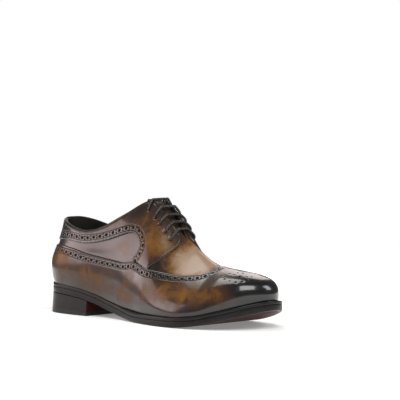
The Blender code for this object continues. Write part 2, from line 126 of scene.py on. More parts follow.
# Lower edge of the collar band and the facing, from the heel to the facing's front corner: station, share
FACING_LOW = (
    (0.03, 0.735), (1.30, 0.745), (2.50, 0.757), (3.30, 0.762), (4.10, 0.776), (4.90, 0.776), (5.60, 0.757),
    (6.20, 0.735), (6.65, 0.685), (7.00, 0.620), (7.18, 0.570), (7.09, 0.520), (6.92, 0.480), (6.82, 0.451),
    (7.40, 0.437), (7.80, 0.427), (8.10, 0.423),
)
# Upper and front edges of the facing, from its front corner up to the topline: station, share
FACING_FRONT = (
    (8.15, 0.455), (8.45, 0.520), (8.70, 0.600), (8.92, 0.720), (8.96, 0.820), (8.85, 0.900), (8.62, 0.950),
)
FACING_THROAT = ((8.40, 0.970), (8.10, 0.997), (7.80, 1.000), (7.20, 1.000), (6.75, 1.000), (6.20, 1.000))
# Eyelets of one side from the top one down: station and share, then the share of the facing's edge beside it
EYELETS = (
    (7.06, 0.883, 1.0), (7.55, 0.852, 1.0), (7.91, 0.838, 1.0), (8.26, 0.805, 0.985), (8.57, 0.765, 0.955),
)
# The tongue by cross sections: station, share where its edge lies, depth of its top under the last's surface
TONGUE_SECTIONS = (
    (7.00, 0.86, 0.0060), (7.50, 0.82, 0.0060), (8.00, 0.78, 0.0060), (8.50, 0.74, 0.0058),
    (9.00, 0.72, 0.0045), (9.50, 0.74, 0.0030), (9.90, 0.80, 0.0026),
)
# The tongue's free tip past the first section: rows, length, how far it stands up and how much it narrows
TIP_ROWS = 4
TONGUE_TIP, TIP_RISE, TIP_NARROWS = 6 * MM, 2.5 * MM, 0.03
# How far the middle of the tongue rises between the facings, and the station where it lies flat again
TONGUE_CROWN, TONGUE_CROWN_END = 4 * MM, 9.5

# The lace's centre line over and under the last's surface, and where its ends hide
LACE_OVER = 3.0 * MM
LACE_UNDER = -4.0 * MM
MOUTH_OVER = 1.2 * MM
MOUTH_UNDER = -3.7 * MM
BAR_LEVELS_AFTER = 0.035
BAR_CROWN = 0.3 * MM
# Where the middle of each bar gets its points, as shares of its length
BAR_PARTS = (0.15, 0.5, 0.85)
END_RUN_BACK, END_RUN_UP = 0.12, 0.065
HIDDEN_END_BACK, HIDDEN_END_DOWN = 0.10, 0.03


# The last

def smooth(values, before, after, position):
    """Smooth value at a fractional row of a table column, given the values that come before and after it."""
    padded = np.concatenate(([before], values, [after]))
    row = np.clip(np.floor(position).astype(int), 0, len(values) - 2)
    f = position - row
    weights = (
        -f + 2 * f**2 - f**3,
        2 - 5 * f**2 + 3 * f**3,
        f + 4 * f**2 - 3 * f**3,
        f**3 - f**2,
    )
    return 0.5 * sum(weight * padded[row + k] for k, weight in enumerate(weights))


def along(name, mirror_name, sign, station):
    """A section column at a station. Past both ends it runs on down the other side of the last."""
    mirror = sign * SECTION[mirror_name]
    return smooth(SECTION[name], mirror[1], mirror[-2], station)


def profile(table, at):
    """Smooth value through the rows of a two-column table, without overshoot."""
    place, value = np.array(table).T
    slope = np.diff(value) / np.diff(place)
    product = slope[:-1] * slope[1:]
    total = np.where(product > 0, slope[:-1] + slope[1:], 1.0)
    tangent = np.concatenate(([slope[0]], np.where(product > 0, 2 * product / total, 0.0), [slope[-1]]))
    k = np.clip(np.searchsorted(place, at) - 1, 0, len(place) - 2)
    width = place[k + 1] - place[k]
    f = (at - place[k]) / width
    rise = value[k + 1] - value[k]
    return value[k] + rise * f * f * (3 - 2 * f) + width * f * (1 - f) * (
        tangent[k] * (1 - f) - tangent[k + 1] * f)


def sole_bottom(x):
    return HEEL_HEIGHT * profile(SOLE_LINE, (x - HEEL_FEATHER_X) / LAST_LENGTH)


def welt_top(x):
    return sole_bottom(x) + SOLE_EDGE


def sole_margin(x):
    return profile(SOLE_MARGIN, (x - HEEL_FEATHER_X) / LAST_LENGTH)


def feather(side, station):
    """Plan of the feather edge, where upper and welt meet, with its outward normal."""
    own, other = ("lateral_y", "medial_y") if side == LATERAL else ("medial_y", "lateral_y")

    def plan(at):
        x = HEEL_FEATHER_X + LAST_LENGTH * along("feather_x", "feather_x", 1, at)
        return np.stack([x, BALL_WIDTH * along(own, other, 1, at)], axis=-1)

    step = 0.001
    run = plan(station + step) - plan(station - step)
    normal = side * np.stack([-run[..., 1], run[..., 0]], axis=-1)
    return plan(station), normal / np.linalg.norm(normal, axis=-1, keepdims=True)


def top_line(side, station):
    """Topline, throat edge, ridge and toe pole, one rail from the heel seam to the toe."""
    own, other = ("lateral_z", "medial_z") if side == LATERAL else ("medial_z", "lateral_z")
    at = np.minimum(station, POLE)
    gap = np.where(at < SLOT_END, np.maximum(along("half_gap", "half_gap", -1, at), 0), 0)
    x = HEEL_FEATHER_X + LAST_LENGTH * along("top_x", "top_x", 1, at)
    y = BALL_WIDTH * (along("top_y", "top_y", 1, at) + side * gap)
    z = INSTEP_HEIGHT * along(own, other, 1, at)
    return np.stack([x, y, z], axis=-1)


def last_surface(side, station, share):
    """Points of the last's surface on one side."""
    plan, normal = feather(side, station)
    foot = np.stack([plan[:, 0], plan[:, 1], welt_top(plan[:, 0]) + GAP], axis=1)
    top = top_line(side, station)
    rise = INSTEP_HEIGHT * along("rise", "rise", 1, station)
    bulge = BALL_WIDTH * along("bulge", "bulge", 1, station)
    reach = BALL_WIDTH * along("reach", "reach", 1, station)
    drop = INSTEP_HEIGHT * along("drop", "drop", 1, station)
    outward = (foot - top)[:, :2]
    outward /= np.linalg.norm(outward, axis=1, keepdims=True)
    slope = TOE_SLOPE * np.clip(station - SLOT_END, 0, 1)
    low_handle = foot.copy()
    low_handle[:, :2] += normal * bulge[:, None]
    low_handle[:, 2] += rise
    high_handle = top.copy()
    high_handle[:, :2] += outward * reach[:, None]
    high_handle[:, 2] -= drop + slope * outward[:, 0] * reach
    t = share[:, None]
    return ((1 - t)**3 * foot + 3 * (1 - t)**2 * t * low_handle
            + 3 * (1 - t) * t**2 * high_handle + t**3 * top)


def last_normals(side, station, share):
    """Outward normals of the last's surface, taken just short of the top, where the columns may meet."""
    step = 0.005
    share = np.minimum(share, 1 - 3 * step)
    along_last = last_surface(side, station + step, share) - last_surface(side, station - step, share)
    up_side = last_surface(side, station, share + step) - last_surface(side, station, share - step)
    normals = -side * np.cross(along_last, up_side)
    return normals / np.linalg.norm(normals, axis=1, keepdims=True)


def unit(vectors):
    return vectors / np.linalg.norm(vectors, axis=-1, keepdims=True)


def laid_flat(vectors, normal):
    """Directions of vectors without their part along the normals."""
    return unit(vectors - normal * (vectors * normal).sum(1)[:, None])


def run_through(points):
    """Length along a dense line of points, in metres."""
    return np.concatenate(([0], np.cumsum(np.linalg.norm(np.diff(points, axis=0), axis=1))))


def station_of(around):
    return np.where(around <= TOE, around, ROUND - around)


def round_to(side, station):
    return station if side == LATERAL else ROUND - station


def tree_of(points):
    """Points put in order for finding the nearest ones."""
    tree = KDTree(len(points))
    for k, point in enumerate(points):
        tree.insert(point, k)
    tree.balance()
    return tree


def on_last(places):
    """Points of the last at places (round, share), in its own axes."""
    around, share = places.T
    lateral = last_surface(LATERAL, np.minimum(around, TOE), share)
    medial = last_surface(MEDIAL, np.minimum(ROUND - around, TOE), share)
    return np.where((around <= TOE)[:, None], lateral, medial)


def out_of_last(places):
    """Outward normals at places. Both sides share one along the seams, the ridge and at the toe's pole."""
    around, share = places.T
    station = np.minimum(station_of(around), TOE)
    at_top = share > 1 - NEAR
    station = np.where(at_top, np.minimum(station, POLE), station)
    lateral = last_normals(LATERAL, station, share)
    medial = last_normals(MEDIAL, station, share)
    shared = (at_top & (station >= SLOT_END)) | (station < NEAR) | (station > TOE - NEAR)
    own = np.where((around <= TOE)[:, None], lateral, medial)
    return unit(np.where(shared[:, None], lateral + medial, own))


def lay(places, height=0.0):
    """Points in the frame at heights over the last. The foot of the leather is cut parallel to the welt."""
    places = np.asarray(places, float)
    normals = out_of_last(places)
    foot = places[:, 1] < NEAR
    normals[foot, 2] = 0
    normals = unit(normals)
    points = on_last(places) + normals * np.broadcast_to(height, len(places))[:, None]
    points[foot, 2] = welt_top(points[foot, 0]) + GAP
    return points + LAST_TO_FRAME


def tangents(places):
    """How a point of the last moves per station and per share."""
    step = 0.001
    by_round, by_share = np.array((step, 0)), np.array((0, step))
    return ((on_last(places + by_round) - on_last(places - by_round)) / (2 * step),
            (on_last(places + by_share) - on_last(places - by_share)) / (2 * step))


def slide(places, vectors):
    """Places moved over the last by vectors in metres."""
    a, b = tangents(places)
    aa, ab, bb = (a * a).sum(1), (a * b).sum(1), (b * b).sum(1)
    av, bv = (a * vectors).sum(1), (b * vectors).sum(1)
    det = aa * bb - ab * ab
    return places + np.stack([(bb * av - ab * bv) / det, (aa * bv - ab * av) / det], axis=1)


# Lines drawn on the last

def mirrored(places):
    """The same places on the other side of the foot, in the opposite order."""
    return np.stack([ROUND - places[::-1, 0], places[::-1, 1]], axis=1)


def curve_through(rows, per_row=12):
    """Dense smooth line through given places."""
    position = np.linspace(0, len(rows) - 1, (len(rows) - 1) * per_row + 1)
    columns = np.array(rows, float).T
    return np.stack([smooth(c, 2 * c[0] - c[1], 2 * c[-1] - c[-2], position) for c in columns], axis=1)


def evenly(line, pitch, inset=0.0):
    """Places at an even pitch along a dense line, a whole number of steps between its ends."""
    run = run_through(on_last(line))
    count = max(int(round((run[-1] - 2 * inset) / pitch)), 1)
    at = np.linspace(inset, run[-1] - inset, count + 1)
    return np.stack([np.interp(at, run, line[:, 0]), np.interp(at, run, line[:, 1])], axis=1)


def frames(line):
    """Direction along a line of places, direction across it over the last, and the last's normal."""
    points = on_last(line)
    normal = out_of_last(line)
    ahead = laid_flat(np.gradient(points, axis=0), normal)
    return ahead, np.cross(normal, ahead), normal


def beside(line, distance):
    """A line at a distance to the left of another, seen from outside."""
    _, across, _ = frames(line)
    return slide(line, across * np.broadcast_to(distance, len(line))[:, None])


def circle(centre, radius, sides, turn=0.0):
    """A round hole's edge about one place."""
    places = np.repeat(np.array([centre], float), sides, axis=0)
    a, _ = tangents(places[:1])
    normal = out_of_last(places[:1])
    ahead = laid_flat(a, normal)
    across = np.cross(normal, ahead)
    angle = turn + 2 * math.pi * np.arange(sides) / sides
    return slide(places, radius * (np.cos(angle)[:, None] * ahead + np.sin(angle)[:, None] * across))


# Flat patterns, cut and punched by station and share, then laid over the last

# Metres per station and per share, so that the pattern's triangles come out even
CHART = np.array((0.020, 0.090))
UNDER = 0.10 * MM
OVERLAY_TOP = GAP + OVERLAY
ROLL = 0.40 * MM
EDGE_DROP = 0.45 * MM
RIM_DROP = 0.25 * MM
HOLE_FLOOR = 0.45 * MM
GROOVE_HALF = 0.55 * MM
SHOULDER = 0.95 * MM
FLOOR_SHARE = 0.86
FILL_PITCH = 1.9 * MM
FILL_CLEAR = 0.75 * MM
SAME_PLACE = 2e-6
CUT_TOLERANCE = 1e-7


class Pattern:
    """A leather panel drawn flat: its outline, rolled edges, grooves and holes, each at its own height."""

    def __init__(self):
        self.places, self.heights, self.marks, self.edges = [], [], [], []
        self.count = 0
        self.holes = 0

    def draw(self, line, height, closed=False, joined=True, mark=0):
        """Adds a line of places at a height. Marked places belong to one hole."""
        start, count = self.count, len(line)
        self.places.append(np.asarray(line, float))
        self.heights.append(np.full(count, float(height)))
        self.marks.append(np.full(count, mark))
        self.count += count
        if joined:
            self.edges += [(start + k, start + k + 1) for k in range(count - 1)]
            if closed:
                self.edges.append((start + count - 1, start))

    def punch(self, centre, radius, sides, through=False):
        """A hole with a rolled rim, down to a floor painted near black as the hole's shade, or right
        through.
        """
        self.holes += 1
        half_side = math.pi / sides
        self.draw(circle(centre, radius + ROLL, sides, half_side), OVERLAY_TOP, closed=True)
        mark = -self.holes if through else 0
        self.draw(circle(centre, radius, sides), OVERLAY_TOP - RIM_DROP, closed=True, mark=mark)
        if not through:
            self.draw(circle(centre, radius * FLOOR_SHARE, sides), HOLE_FLOOR, closed=True, mark=self.holes)
            self.draw([centre], HOLE_FLOOR, joined=False, mark=self.holes)

    def groove(self, line, depth, shoulder):
        """A soft channel that a row of stitches pulls into the leather, with a flat shoulder to one side."""
        self.draw(line, OVERLAY_TOP - depth)
        for distance in (GROOVE_HALF, -GROOVE_HALF, shoulder):
            self.draw(beside(line, distance), OVERLAY_TOP)

    def fill(self, low, high):
        """Scatters places in staggered rows between two corners, clear of all that is drawn."""
        around = np.arange(low[0], high[0], FILL_PITCH / CHART[0])
        share = np.arange(low[1], high[1], FILL_PITCH / CHART[1])
        grid = np.stack(np.meshgrid(around, share, indexing="ij"), axis=-1)
        grid[:, 1::2, 0] += FILL_PITCH / CHART[0] / 2
        grid = grid.reshape(-1, 2)
        grid = grid[grid[:, 1] < 1 - FILL_PITCH / CHART[1] / 2]
        drawn = tree_of(on_last(np.concatenate(self.places)))
        clear = [drawn.find(point)[2] > FILL_CLEAR for point in on_last(grid)]
        self.draw(grid[np.array(clear)], OVERLAY_TOP, joined=False)

    def last_it(self, name):
        """Cuts the pattern out and lays it over the last as a closed layer of leather."""
        places = np.concatenate(self.places)
        flat, _, triangles, source, _, _ = delaunay_2d_cdt(
            [Vector(p) for p in places * CHART], self.edges, [], 1, CUT_TOLERANCE)
        first = np.array([s[0] if s else -1 for s in source])
        flat = np.array([tuple(p) for p in flat]) / CHART
        heights = np.where(first >= 0, np.concatenate(self.heights)[first], OVERLAY_TOP)
        marks = np.where(first >= 0, np.concatenate(self.marks)[first], 0)
        triangles = np.array(triangles)
        corner_marks = marks[triangles]
        one_hole = (corner_marks == corner_marks[:, :1]).all(1)
        floors = one_hole & (corner_marks[:, 0] > 0)
        kept = ~(one_hole & (corner_marks[:, 0] < 0))
        return closed_layer(name, flat, heights, triangles[kept], floors[kept])


def welded(points, candidates):
    """For each point the first one that stands at the same place."""
    index = np.arange(len(points))
    chosen = np.flatnonzero(candidates)
    tree = tree_of(points[chosen])
    for k in chosen:
        index[k] = chosen[min(found[1] for found in tree.find_range(points[k], SAME_PLACE))]
    return index


def closed_layer(name, places, heights, triangles, floors):
    """A piece from a lasted sheet: its face, its back just over the upper, and the cut edge between them."""
    face = lay(places, heights)
    back = lay(places, UNDER)
    seams = (places[:, 1] > 1 - NEAR) | (places[:, 0] < NEAR) | (places[:, 0] > ROUND - NEAR)
    index = welded(face, seams)
    triangles = index[triangles]
    whole = ((triangles[:, 0] != triangles[:, 1]) & (triangles[:, 1] != triangles[:, 2])
             & (triangles[:, 2] != triangles[:, 0]))
    triangles, floors = triangles[whole], floors[whole]
    used = np.unique(triangles)
    renumber = np.full(len(places), -1)
    renumber[used] = np.arange(len(used))
    triangles = renumber[triangles]
    count = len(used)
    edges = {}
    for a, b, c in triangles.tolist():
        for edge in ((a, b), (b, c), (c, a)):
            edges[edge] = True
    rim = [edge for edge in edges if (edge[1], edge[0]) not in edges]
    faces = triangles.tolist() + (triangles[:, ::-1] + count).tolist()
    faces += [(b, a, a + count, b + count) for a, b in rim]
    piece = new_piece(name, np.concatenate([face[used], back[used]]), faces)
    # Hole floors take the second material, near black as painted shade
    dark = np.zeros(len(faces), int)
    dark[:len(floors)] = floors
    piece.data.polygons.foreach_set("material_index", dark)
    return piece


# Meshes, and pieces made from primitives

def new_piece(name, points, faces):
    mesh = bpy.data.meshes.new(name)
    mesh.from_pydata(points.tolist(), [], faces)
    piece = bpy.data.objects.new(name, mesh)
    bpy.context.scene.collection.objects.link(piece)
    return piece


def vertex_places(piece):
    co = np.empty(len(piece.data.vertices) * 3)
    piece.data.vertices.foreach_get("co", co)
    return co.reshape(-1, 3)


def note(piece, name, values):
    """Notes a number for each vertex, for a material to read."""
    layer = piece.data.attributes.new(name, "FLOAT", "POINT")
    layer.data.foreach_set("value", np.asarray(values, np.float32))


def deselect():
    bpy.ops.object.select_all(action="DESELECT")


def only(piece):
    """Leaves one object selected and active."""
    deselect()
    piece.select_set(True)
    bpy.context.view_layer.objects.active = piece


def edit_all(piece, *steps):
    """Runs mesh operators, each with its settings, on all of a piece."""
    only(piece)
    bpy.ops.object.mode_set(mode="EDIT")
    bpy.ops.mesh.select_all(action="SELECT")
    for operator, settings in steps:
        operator(**settings)
    bpy.ops.object.mode_set(mode="OBJECT")


def grid_piece(name, columns, rows, place):
    """A grid primitive drawn over a form by shares across and up. What meets is joined."""
    deselect()
    bpy.ops.mesh.primitive_grid_add(x_subdivisions=columns, y_subdivisions=rows, size=1)
    piece = bpy.context.object
    piece.name = piece.data.name = name
    flat = vertex_places(piece)[:, :2] + 0.5
    across = np.round(flat[:, 0] * columns) / columns
    up = np.round(flat[:, 1] * rows) / rows
    piece.data.vertices.foreach_set("co", np.asarray(place(across, up), float).ravel())
    piece.data.update()
    edit_all(
        piece,
        (bpy.ops.mesh.remove_doubles, {"threshold": SAME_PLACE}),
        (bpy.ops.mesh.dissolve_degenerate, {"threshold": SAME_PLACE}),
        (bpy.ops.mesh.normals_make_consistent, {"inside": False}),
    )
    return piece


def apply(piece, kind, **settings):
    """Adds a modifier, sets it up and applies it."""
    only(piece)
    bpy.ops.object.modifier_add(type=kind)
    modifier = piece.modifiers[-1]
    for key, value in settings.items():
        setattr(modifier, key, value)
    bpy.ops.object.modifier_apply(modifier=modifier.name)


def finish_piece(piece, materials, nodes=(), angle=40):
    """Smooths a piece, gives it its materials and sets it on the shoe's body."""
    only(piece)
    bpy.ops.object.shade_smooth_by_angle(angle=math.radians(angle))
    index = np.empty(len(piece.data.polygons), int)
    piece.data.polygons.foreach_get("material_index", index)
    piece.data.materials.clear()
    for material in materials:
        piece.data.materials.append(material)
    piece.data.polygons.foreach_set("material_index", index)
    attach(piece, "root")
    if nodes:
        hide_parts(*nodes)
    return piece


def scatter(name, shape, points, frames_of, scale=(1, 1, 1)):
    """One mesh of many copies of a small shape, each at a point and turned by its own three directions."""
    co = vertex_places(shape) * scale
    faces = [tuple(face.vertices) for face in shape.data.polygons]
    turned = sum(co[None, :, k, None] * frames_of[k][:, None, :] for k in range(3)) + points[:, None, :]
    copied = [tuple(v + n * len(co) for v in face) for n in range(len(points)) for face in faces]
    return new_piece(name, turned.reshape(-1, 3), copied)


def thread_grain():
    """One stitch: a grain of thread that sinks at both ends."""
    deselect()
    bpy.ops.mesh.primitive_uv_sphere_add(segments=6, ring_count=5, radius=0.5)
    grain = bpy.context.object
    turn = {"value": math.pi / 2, "orient_axis": "Y", "center_override": (0, 0, 0)}
    edit_all(grain, (bpy.ops.transform.rotate, turn))
    return grain


def remove(piece):
    bpy.data.objects.remove(piece, do_unlink=True)


# Materials

def new_material(name):
    material = bpy.data.materials.new(name)
    material.use_nodes = True
    return material, material.node_tree.nodes["Principled BSDF"]


def add_node(tree, kind, **settings):
    """A node with its properties and its inputs set by name. A value that is a socket is linked."""
    node = tree.nodes.new(kind)
    for key, value in settings.items():
        if key in node.inputs:
            put(tree, node.inputs[key], value)
        else:
            setattr(node, key, value)
    return node


def put(tree, socket, value):
    if isinstance(value, bpy.types.NodeSocket):
        tree.links.new(value, socket)
    else:
        socket.default_value = value


def add_ramp(tree, factor, stops):
    """A colour ramp from (position, colour) stops."""
    node = tree.nodes.new("ShaderNodeValToRGB")
    ramp = node.color_ramp
    while len(ramp.elements) < len(stops):
        ramp.elements.new(0.5)
    for element, (position, colour) in zip(ramp.elements, stops):
        element.position = position
        element.color = (*colour[:3], 1)
    put(tree, node.inputs["Fac"], factor)
    return node.outputs["Color"]


def add_noise(tree, scale, detail, roughness, distortion=0.0):
    """Noise on Object coordinates, its scale in cells per metre."""
    place = tree.nodes.new("ShaderNodeTexCoord").outputs["Object"]
    noise = add_node(tree, "ShaderNodeTexNoise", Vector=place, Scale=scale, Detail=detail,
                     Roughness=roughness, Distortion=distortion)
    return noise.outputs["Fac"]


def add_map_range(tree, value, start, end, low, high, kind="LINEAR"):
    """Turns a value that runs from start to end into one that runs from low to high."""
    node = add_node(tree, "ShaderNodeMapRange", Value=value, interpolation_type=kind)
    for key, number in (("From Min", start), ("From Max", end), ("To Min", low), ("To Max", high)):
        node.inputs[key].default_value = number
    return node.outputs["Result"]


def add_math(tree, operation, a, b=0.0, c=0.0):
    node = tree.nodes.new("ShaderNodeMath")
    node.operation = operation
    for socket, value in zip(node.inputs, (a, b, c)):
        put(tree, socket, value)
    return node.outputs["Value"]


def add_bump(tree, height, strength, distance, after=None):
    node = add_node(tree, "ShaderNodeBump", Height=height, Strength=strength, Distance=distance)
    if after is not None:
        put(tree, node.inputs["Normal"], after)
    return node.outputs["Normal"]


# Noise in the leather, in cells per metre
CLOUDS, MOTTLE, PORES, PLAIN_MOTTLE, FIBRE = 46, 210, 1500, 90, 2500
# The lace's braid: strands round the lace, distance between crossings
BRAID_STRANDS, BRAID_STEP = 4, 1.1 * MM


def calf(name, colours, roughness, polish, grain, thin_wax):
    """Burnished calf.

    The dye runs from light to dark with the burnish attribute and drifting clouds, under wax that thins
    out to a share of its weight on the lightest dye.
    """
    material, shader = new_material(name)
    tree = material.node_tree
    burnish_and_painted_light = add_node(tree, "ShaderNodeAttribute", attribute_name="burnish_and_painted_light").outputs["Fac"]
    clouds = add_noise(tree, CLOUDS, 4, 0.65, distortion=0.8)
    mottle = add_noise(tree, MOTTLE, 4, 0.6)
    pores = add_noise(tree, PORES, 2, 0.5)
    drift = add_math(tree, "MULTIPLY_ADD", clouds, 1.15, burnish_and_painted_light)
    drift = add_math(tree, "MULTIPLY_ADD", mottle, 0.35, drift)
    shade = add_math(tree, "SUBTRACT", drift, 0.75)
    put(tree, shader.inputs["Base Color"], add_ramp(tree, shade, colours))
    put(tree, shader.inputs["Roughness"],
        add_math(tree, "MULTIPLY_ADD", mottle, 0.10, roughness - 0.05))
    put(tree, shader.inputs["Coat Weight"], add_map_range(tree, shade, 0.18, 0.7, thin_wax, 1.0))
    shader.inputs["Coat Roughness"].default_value = polish
    shader.inputs["Specular IOR Level"].default_value = 0.18
    fine = add_bump(tree, pores, grain, 0.05 * MM)
    put(tree, shader.inputs["Normal"], add_bump(tree, clouds, 0.30, 0.5 * MM, fine))
    return material


# How much lighter and darker than its own colour a plain dye runs
DYE_VARIATION = 0.35


def plain_leather(name, colour, roughness, grain=0.5, pores=900, gloss=0.5):
    """Lining, sole and edge leather: one dye with soft variation and open pores."""
    material, shader = new_material(name)
    tree = material.node_tree
    mottle = add_noise(tree, PLAIN_MOTTLE, 4, 0.6)
    fine = add_noise(tree, pores, 3, 0.6)
    dark = tuple(c * (1 - DYE_VARIATION) for c in colour)
    light = tuple(min(c * (1 + DYE_VARIATION), 1) for c in colour)
    put(tree, shader.inputs["Base Color"], add_ramp(tree, mottle, ((0.3, dark), (0.7, light))))
    put(tree, shader.inputs["Roughness"], add_math(tree, "MULTIPLY_ADD", fine, 0.12, roughness - 0.06))
    shader.inputs["Specular IOR Level"].default_value = gloss
    put(tree, shader.inputs["Normal"], add_bump(tree, fine, grain, 0.08 * MM))
    return material


def waxed_braid(name, colour):
    """Round waxed cotton lace: strands cross in a fine braid that follows the lace."""
    material, shader = new_material(name)
    tree = material.node_tree
    run = add_node(tree, "ShaderNodeAttribute", attribute_name="run").outputs["Fac"]
    turn = add_node(tree, "ShaderNodeAttribute", attribute_name="turn").outputs["Fac"]
    strands = []
    for hand in (1, -1):
        twist = add_math(tree, "MULTIPLY", turn, hand * BRAID_STRANDS)
        phase = add_math(tree, "MULTIPLY_ADD", run, 1 / BRAID_STEP, twist)
        strands.append(add_math(tree, "SINE", add_math(tree, "MULTIPLY", phase, 2 * math.pi)))
    weave = add_math(tree, "MAXIMUM", *strands)
    fibre = add_noise(tree, FIBRE, 2, 0.5)
    # The dye is darker between the strands: painted shade in the braid's grooves
    shade = add_math(tree, "MULTIPLY_ADD", weave, 0.35, add_math(tree, "MULTIPLY", fibre, 0.5))
    dark = tuple(c * 0.45 for c in colour)
    put(tree, shader.inputs["Base Color"], add_ramp(tree, shade, ((0.1, dark), (0.8, colour))))
    shader.inputs["Roughness"].default_value = 0.42
    shader.inputs["Coat Weight"].default_value = 0.15
    shader.inputs["Coat Roughness"].default_value = 0.3
    put(tree, shader.inputs["Normal"], add_bump(tree, weave, 0.6, 0.08 * MM))
    return material


def pale_floor(name, colour):
    """White paper, lit from behind away from the shoe, so that it runs evenly into the background."""
    material, shader = new_material(name)
    tree = material.node_tree
    shader.inputs["Base Color"].default_value = (*colour, 1)
    shader.inputs["Roughness"].default_value = 0.7
    shader.inputs["Specular IOR Level"].default_value = 0.1
    coordinates = tree.nodes.new("ShaderNodeTexCoord")
    distance = add_node(tree, "ShaderNodeVectorMath", operation="LENGTH")
    tree.links.new(coordinates.outputs["Object"], distance.inputs[0])
    glow = add_map_range(tree, distance.outputs["Value"], GLOW_FROM, GLOW_TO, GLOW_NEAR, GLOW_FAR,
                         "SMOOTHSTEP")
    shader.inputs["Emission Color"].default_value = (1, 1, 1, 1)
    put(tree, shader.inputs["Emission Strength"], glow)
    return material


# How steeply the dark fades from an edge, and the height of a spot as a share of its width
EDGE_FADE, SPOT_HEIGHT = 1.5, 0.6


def burnish_and_painted_light(piece, tones, edge_lines, spots):
    """Patina of a piece, with some painted light and shade: a base, darker towards the edge lines, with
    spots listed one by one on both sides.
    """
    base, edge_strength, edge_reach = tones
    co = vertex_places(piece)
    edge = tree_of(lay(np.concatenate(edge_lines)))
    reach = np.array([edge.find(point)[2] for point in co])
    value = base + edge_strength * np.exp(-(reach / edge_reach) ** EDGE_FADE)
    for station, share, size, weight in spots:
        for around in (station, ROUND - station):
            centre = lay([(around, share)])[0]
            distance = np.linalg.norm((co - centre) / np.array((size, size, size * SPOT_HEIGHT)), axis=1)
            value += weight * np.exp(-distance ** 2)
    note(piece, "burnish_and_painted_light", value)


# Broguing and stitching

UPPER_COLUMNS, UPPER_ROWS = 360, 56
TONGUE_COLUMNS = 24
PIN_SIDES, PIN_DEPTH = 16, 8 * MM
LACE_SIDES, BEAD_SIDES = 12, 10
GIMP_PITCH = 2.4 * MM
GIMP_DEPTH = 0.45 * MM
EDGE_PITCH = 1.0 * MM
# Where the leather reaches its full thickness, in from the cut edge
EDGE_ROLL = 0.5 * MM
ROW_ENDS = 3.0 * MM
BIG_SIDES, SMALL_SIDES = 12, 8
# The foot of the wing: its points, and the ones round the fore part that are darkened, partly as burnished
# patina and partly as painted shade along the welt
FOOT_POINTS = 12 * ROUND + 1
FOOT_BURNISH_AND_SHADE = slice(12 * 5, 12 * 25 + 1)
# The rows of stitches on both sides of the wing's holes and of the collar's
WING_STITCHES = (3.1 * MM, -2.9 * MM)
COLLAR_STITCHES = (-3.0 * MM, 3.0 * MM)
# How far the front row and the topline's row of a facing lie in from its edge
FRONT_ROW, TOP_ROW = 2.2 * MM, 2.4 * MM
# Points of a facing's rows left out at both ends
ROW_TRIM = slice(3, -3)
# Clear of the heel seam and of the foot, and the lowest share and the furthest station of a facing
SEAM_CLEAR, FOOT_CLEAR, FACING_LOWEST, FACING_FURTHEST = 0.05, 0.02, 0.40, 9.2
# Where the rows and the teeth stop short of the ridge and of the heel seam
ROW_TOP, TEETH_TOP, TEETH_HEEL = 0.985, 0.995, 0.02
# Points along the heel seam, the ridge of the toe, the top and the back of a facing, and the sole's edge
SEAM_POINTS, RIDGE_POINTS, TOP_POINTS, BACK_POINTS, SOLE_POINTS = 30, 60, 200, 12, 2001
# Distance of the wing's holes from its edge: station, metres
WING_BAND = ((0.0, 0.0056), (3.0, 0.0056), (6.0, 0.0046), (8.0, 0.0044), (10.0, 0.0046), (15.0, 0.0052))


def gimped(line):
    """A line cut in small teeth that stand out to its right."""
    teeth = evenly(line, GIMP_PITCH / 2)
    out = np.zeros(len(teeth))
    out[1:-1:2] = -GIMP_DEPTH
    return beside(teeth, out)


def perforate(pattern, row, settings, pitch):
    """Big holes at a pitch along a row, with a pair of small ones between each two."""
    spaced = evenly(row, pitch / 2, ROW_ENDS)
    small = settings.small_hole / 2
    for k, centre in enumerate(spaced):
        if k % 2 == 0:
            pattern.punch(centre, settings.big_hole / 2, BIG_SIDES)
    _, across, _ = frames(spaced)
    for side in (1, -1):
        pairs = slide(spaced, side * settings.pair_spread / 2 * across)
        for centre in pairs[1::2]:
            pattern.punch(centre, small, SMALL_SIDES)


def sew(name, lines, settings, thread, height):
    """Rows of stitches along lines drawn on the last."""
    places = [evenly(line, settings.stitch_pitch, settings.stitch_pitch / 2) for line in lines]
    directions = [frames(row) for row in places]
    points = lay(np.concatenate(places), height)
    ahead, across, normal = (np.concatenate([d[k] for d in directions]) for k in range(3))
    size = (settings.stitch_length, settings.thread, settings.thread * 0.8)
    set_stitches(name, points, (ahead, across, normal), size, thread)


def set_stitches(name, points, frames_of, size, thread):
    """Stitches at points, each turned by its own three directions."""
    grain = thread_grain()
    piece = scatter(name, grain, points, frames_of, size)
    remove(grain)
    finish_piece(piece, [thread])


def wing_edge():
    line = curve_through(WING_EDGE)
    line[-1] = WING_EDGE[-1]
    return line


def wing_lines():
    """The wing's upper edge and the rows beside it, on both sides of the foot."""
    edge = evenly(wing_edge(), EDGE_PITCH)
    lines = {"edge": [], "holes": [], "stitches": []}
    band = profile(WING_BAND, edge[:, 0])
    for side_edge, side_band in ((edge, band), (mirrored(edge), band[::-1])):
        lines["edge"].append(side_edge)
        lines["holes"].append(trimmed(beside(side_edge, -side_band)))
        for offset in WING_STITCHES:
            lines["stitches"].append(trimmed(beside(side_edge, -side_band + offset)))
    return lines


def trimmed(line, top=ROW_TOP, heel=SEAM_CLEAR):
    """A line without what runs past the ridge or the heel seam."""
    around, share = line.T
    return line[(share < top) & (around > heel) & (around < ROUND - heel)]


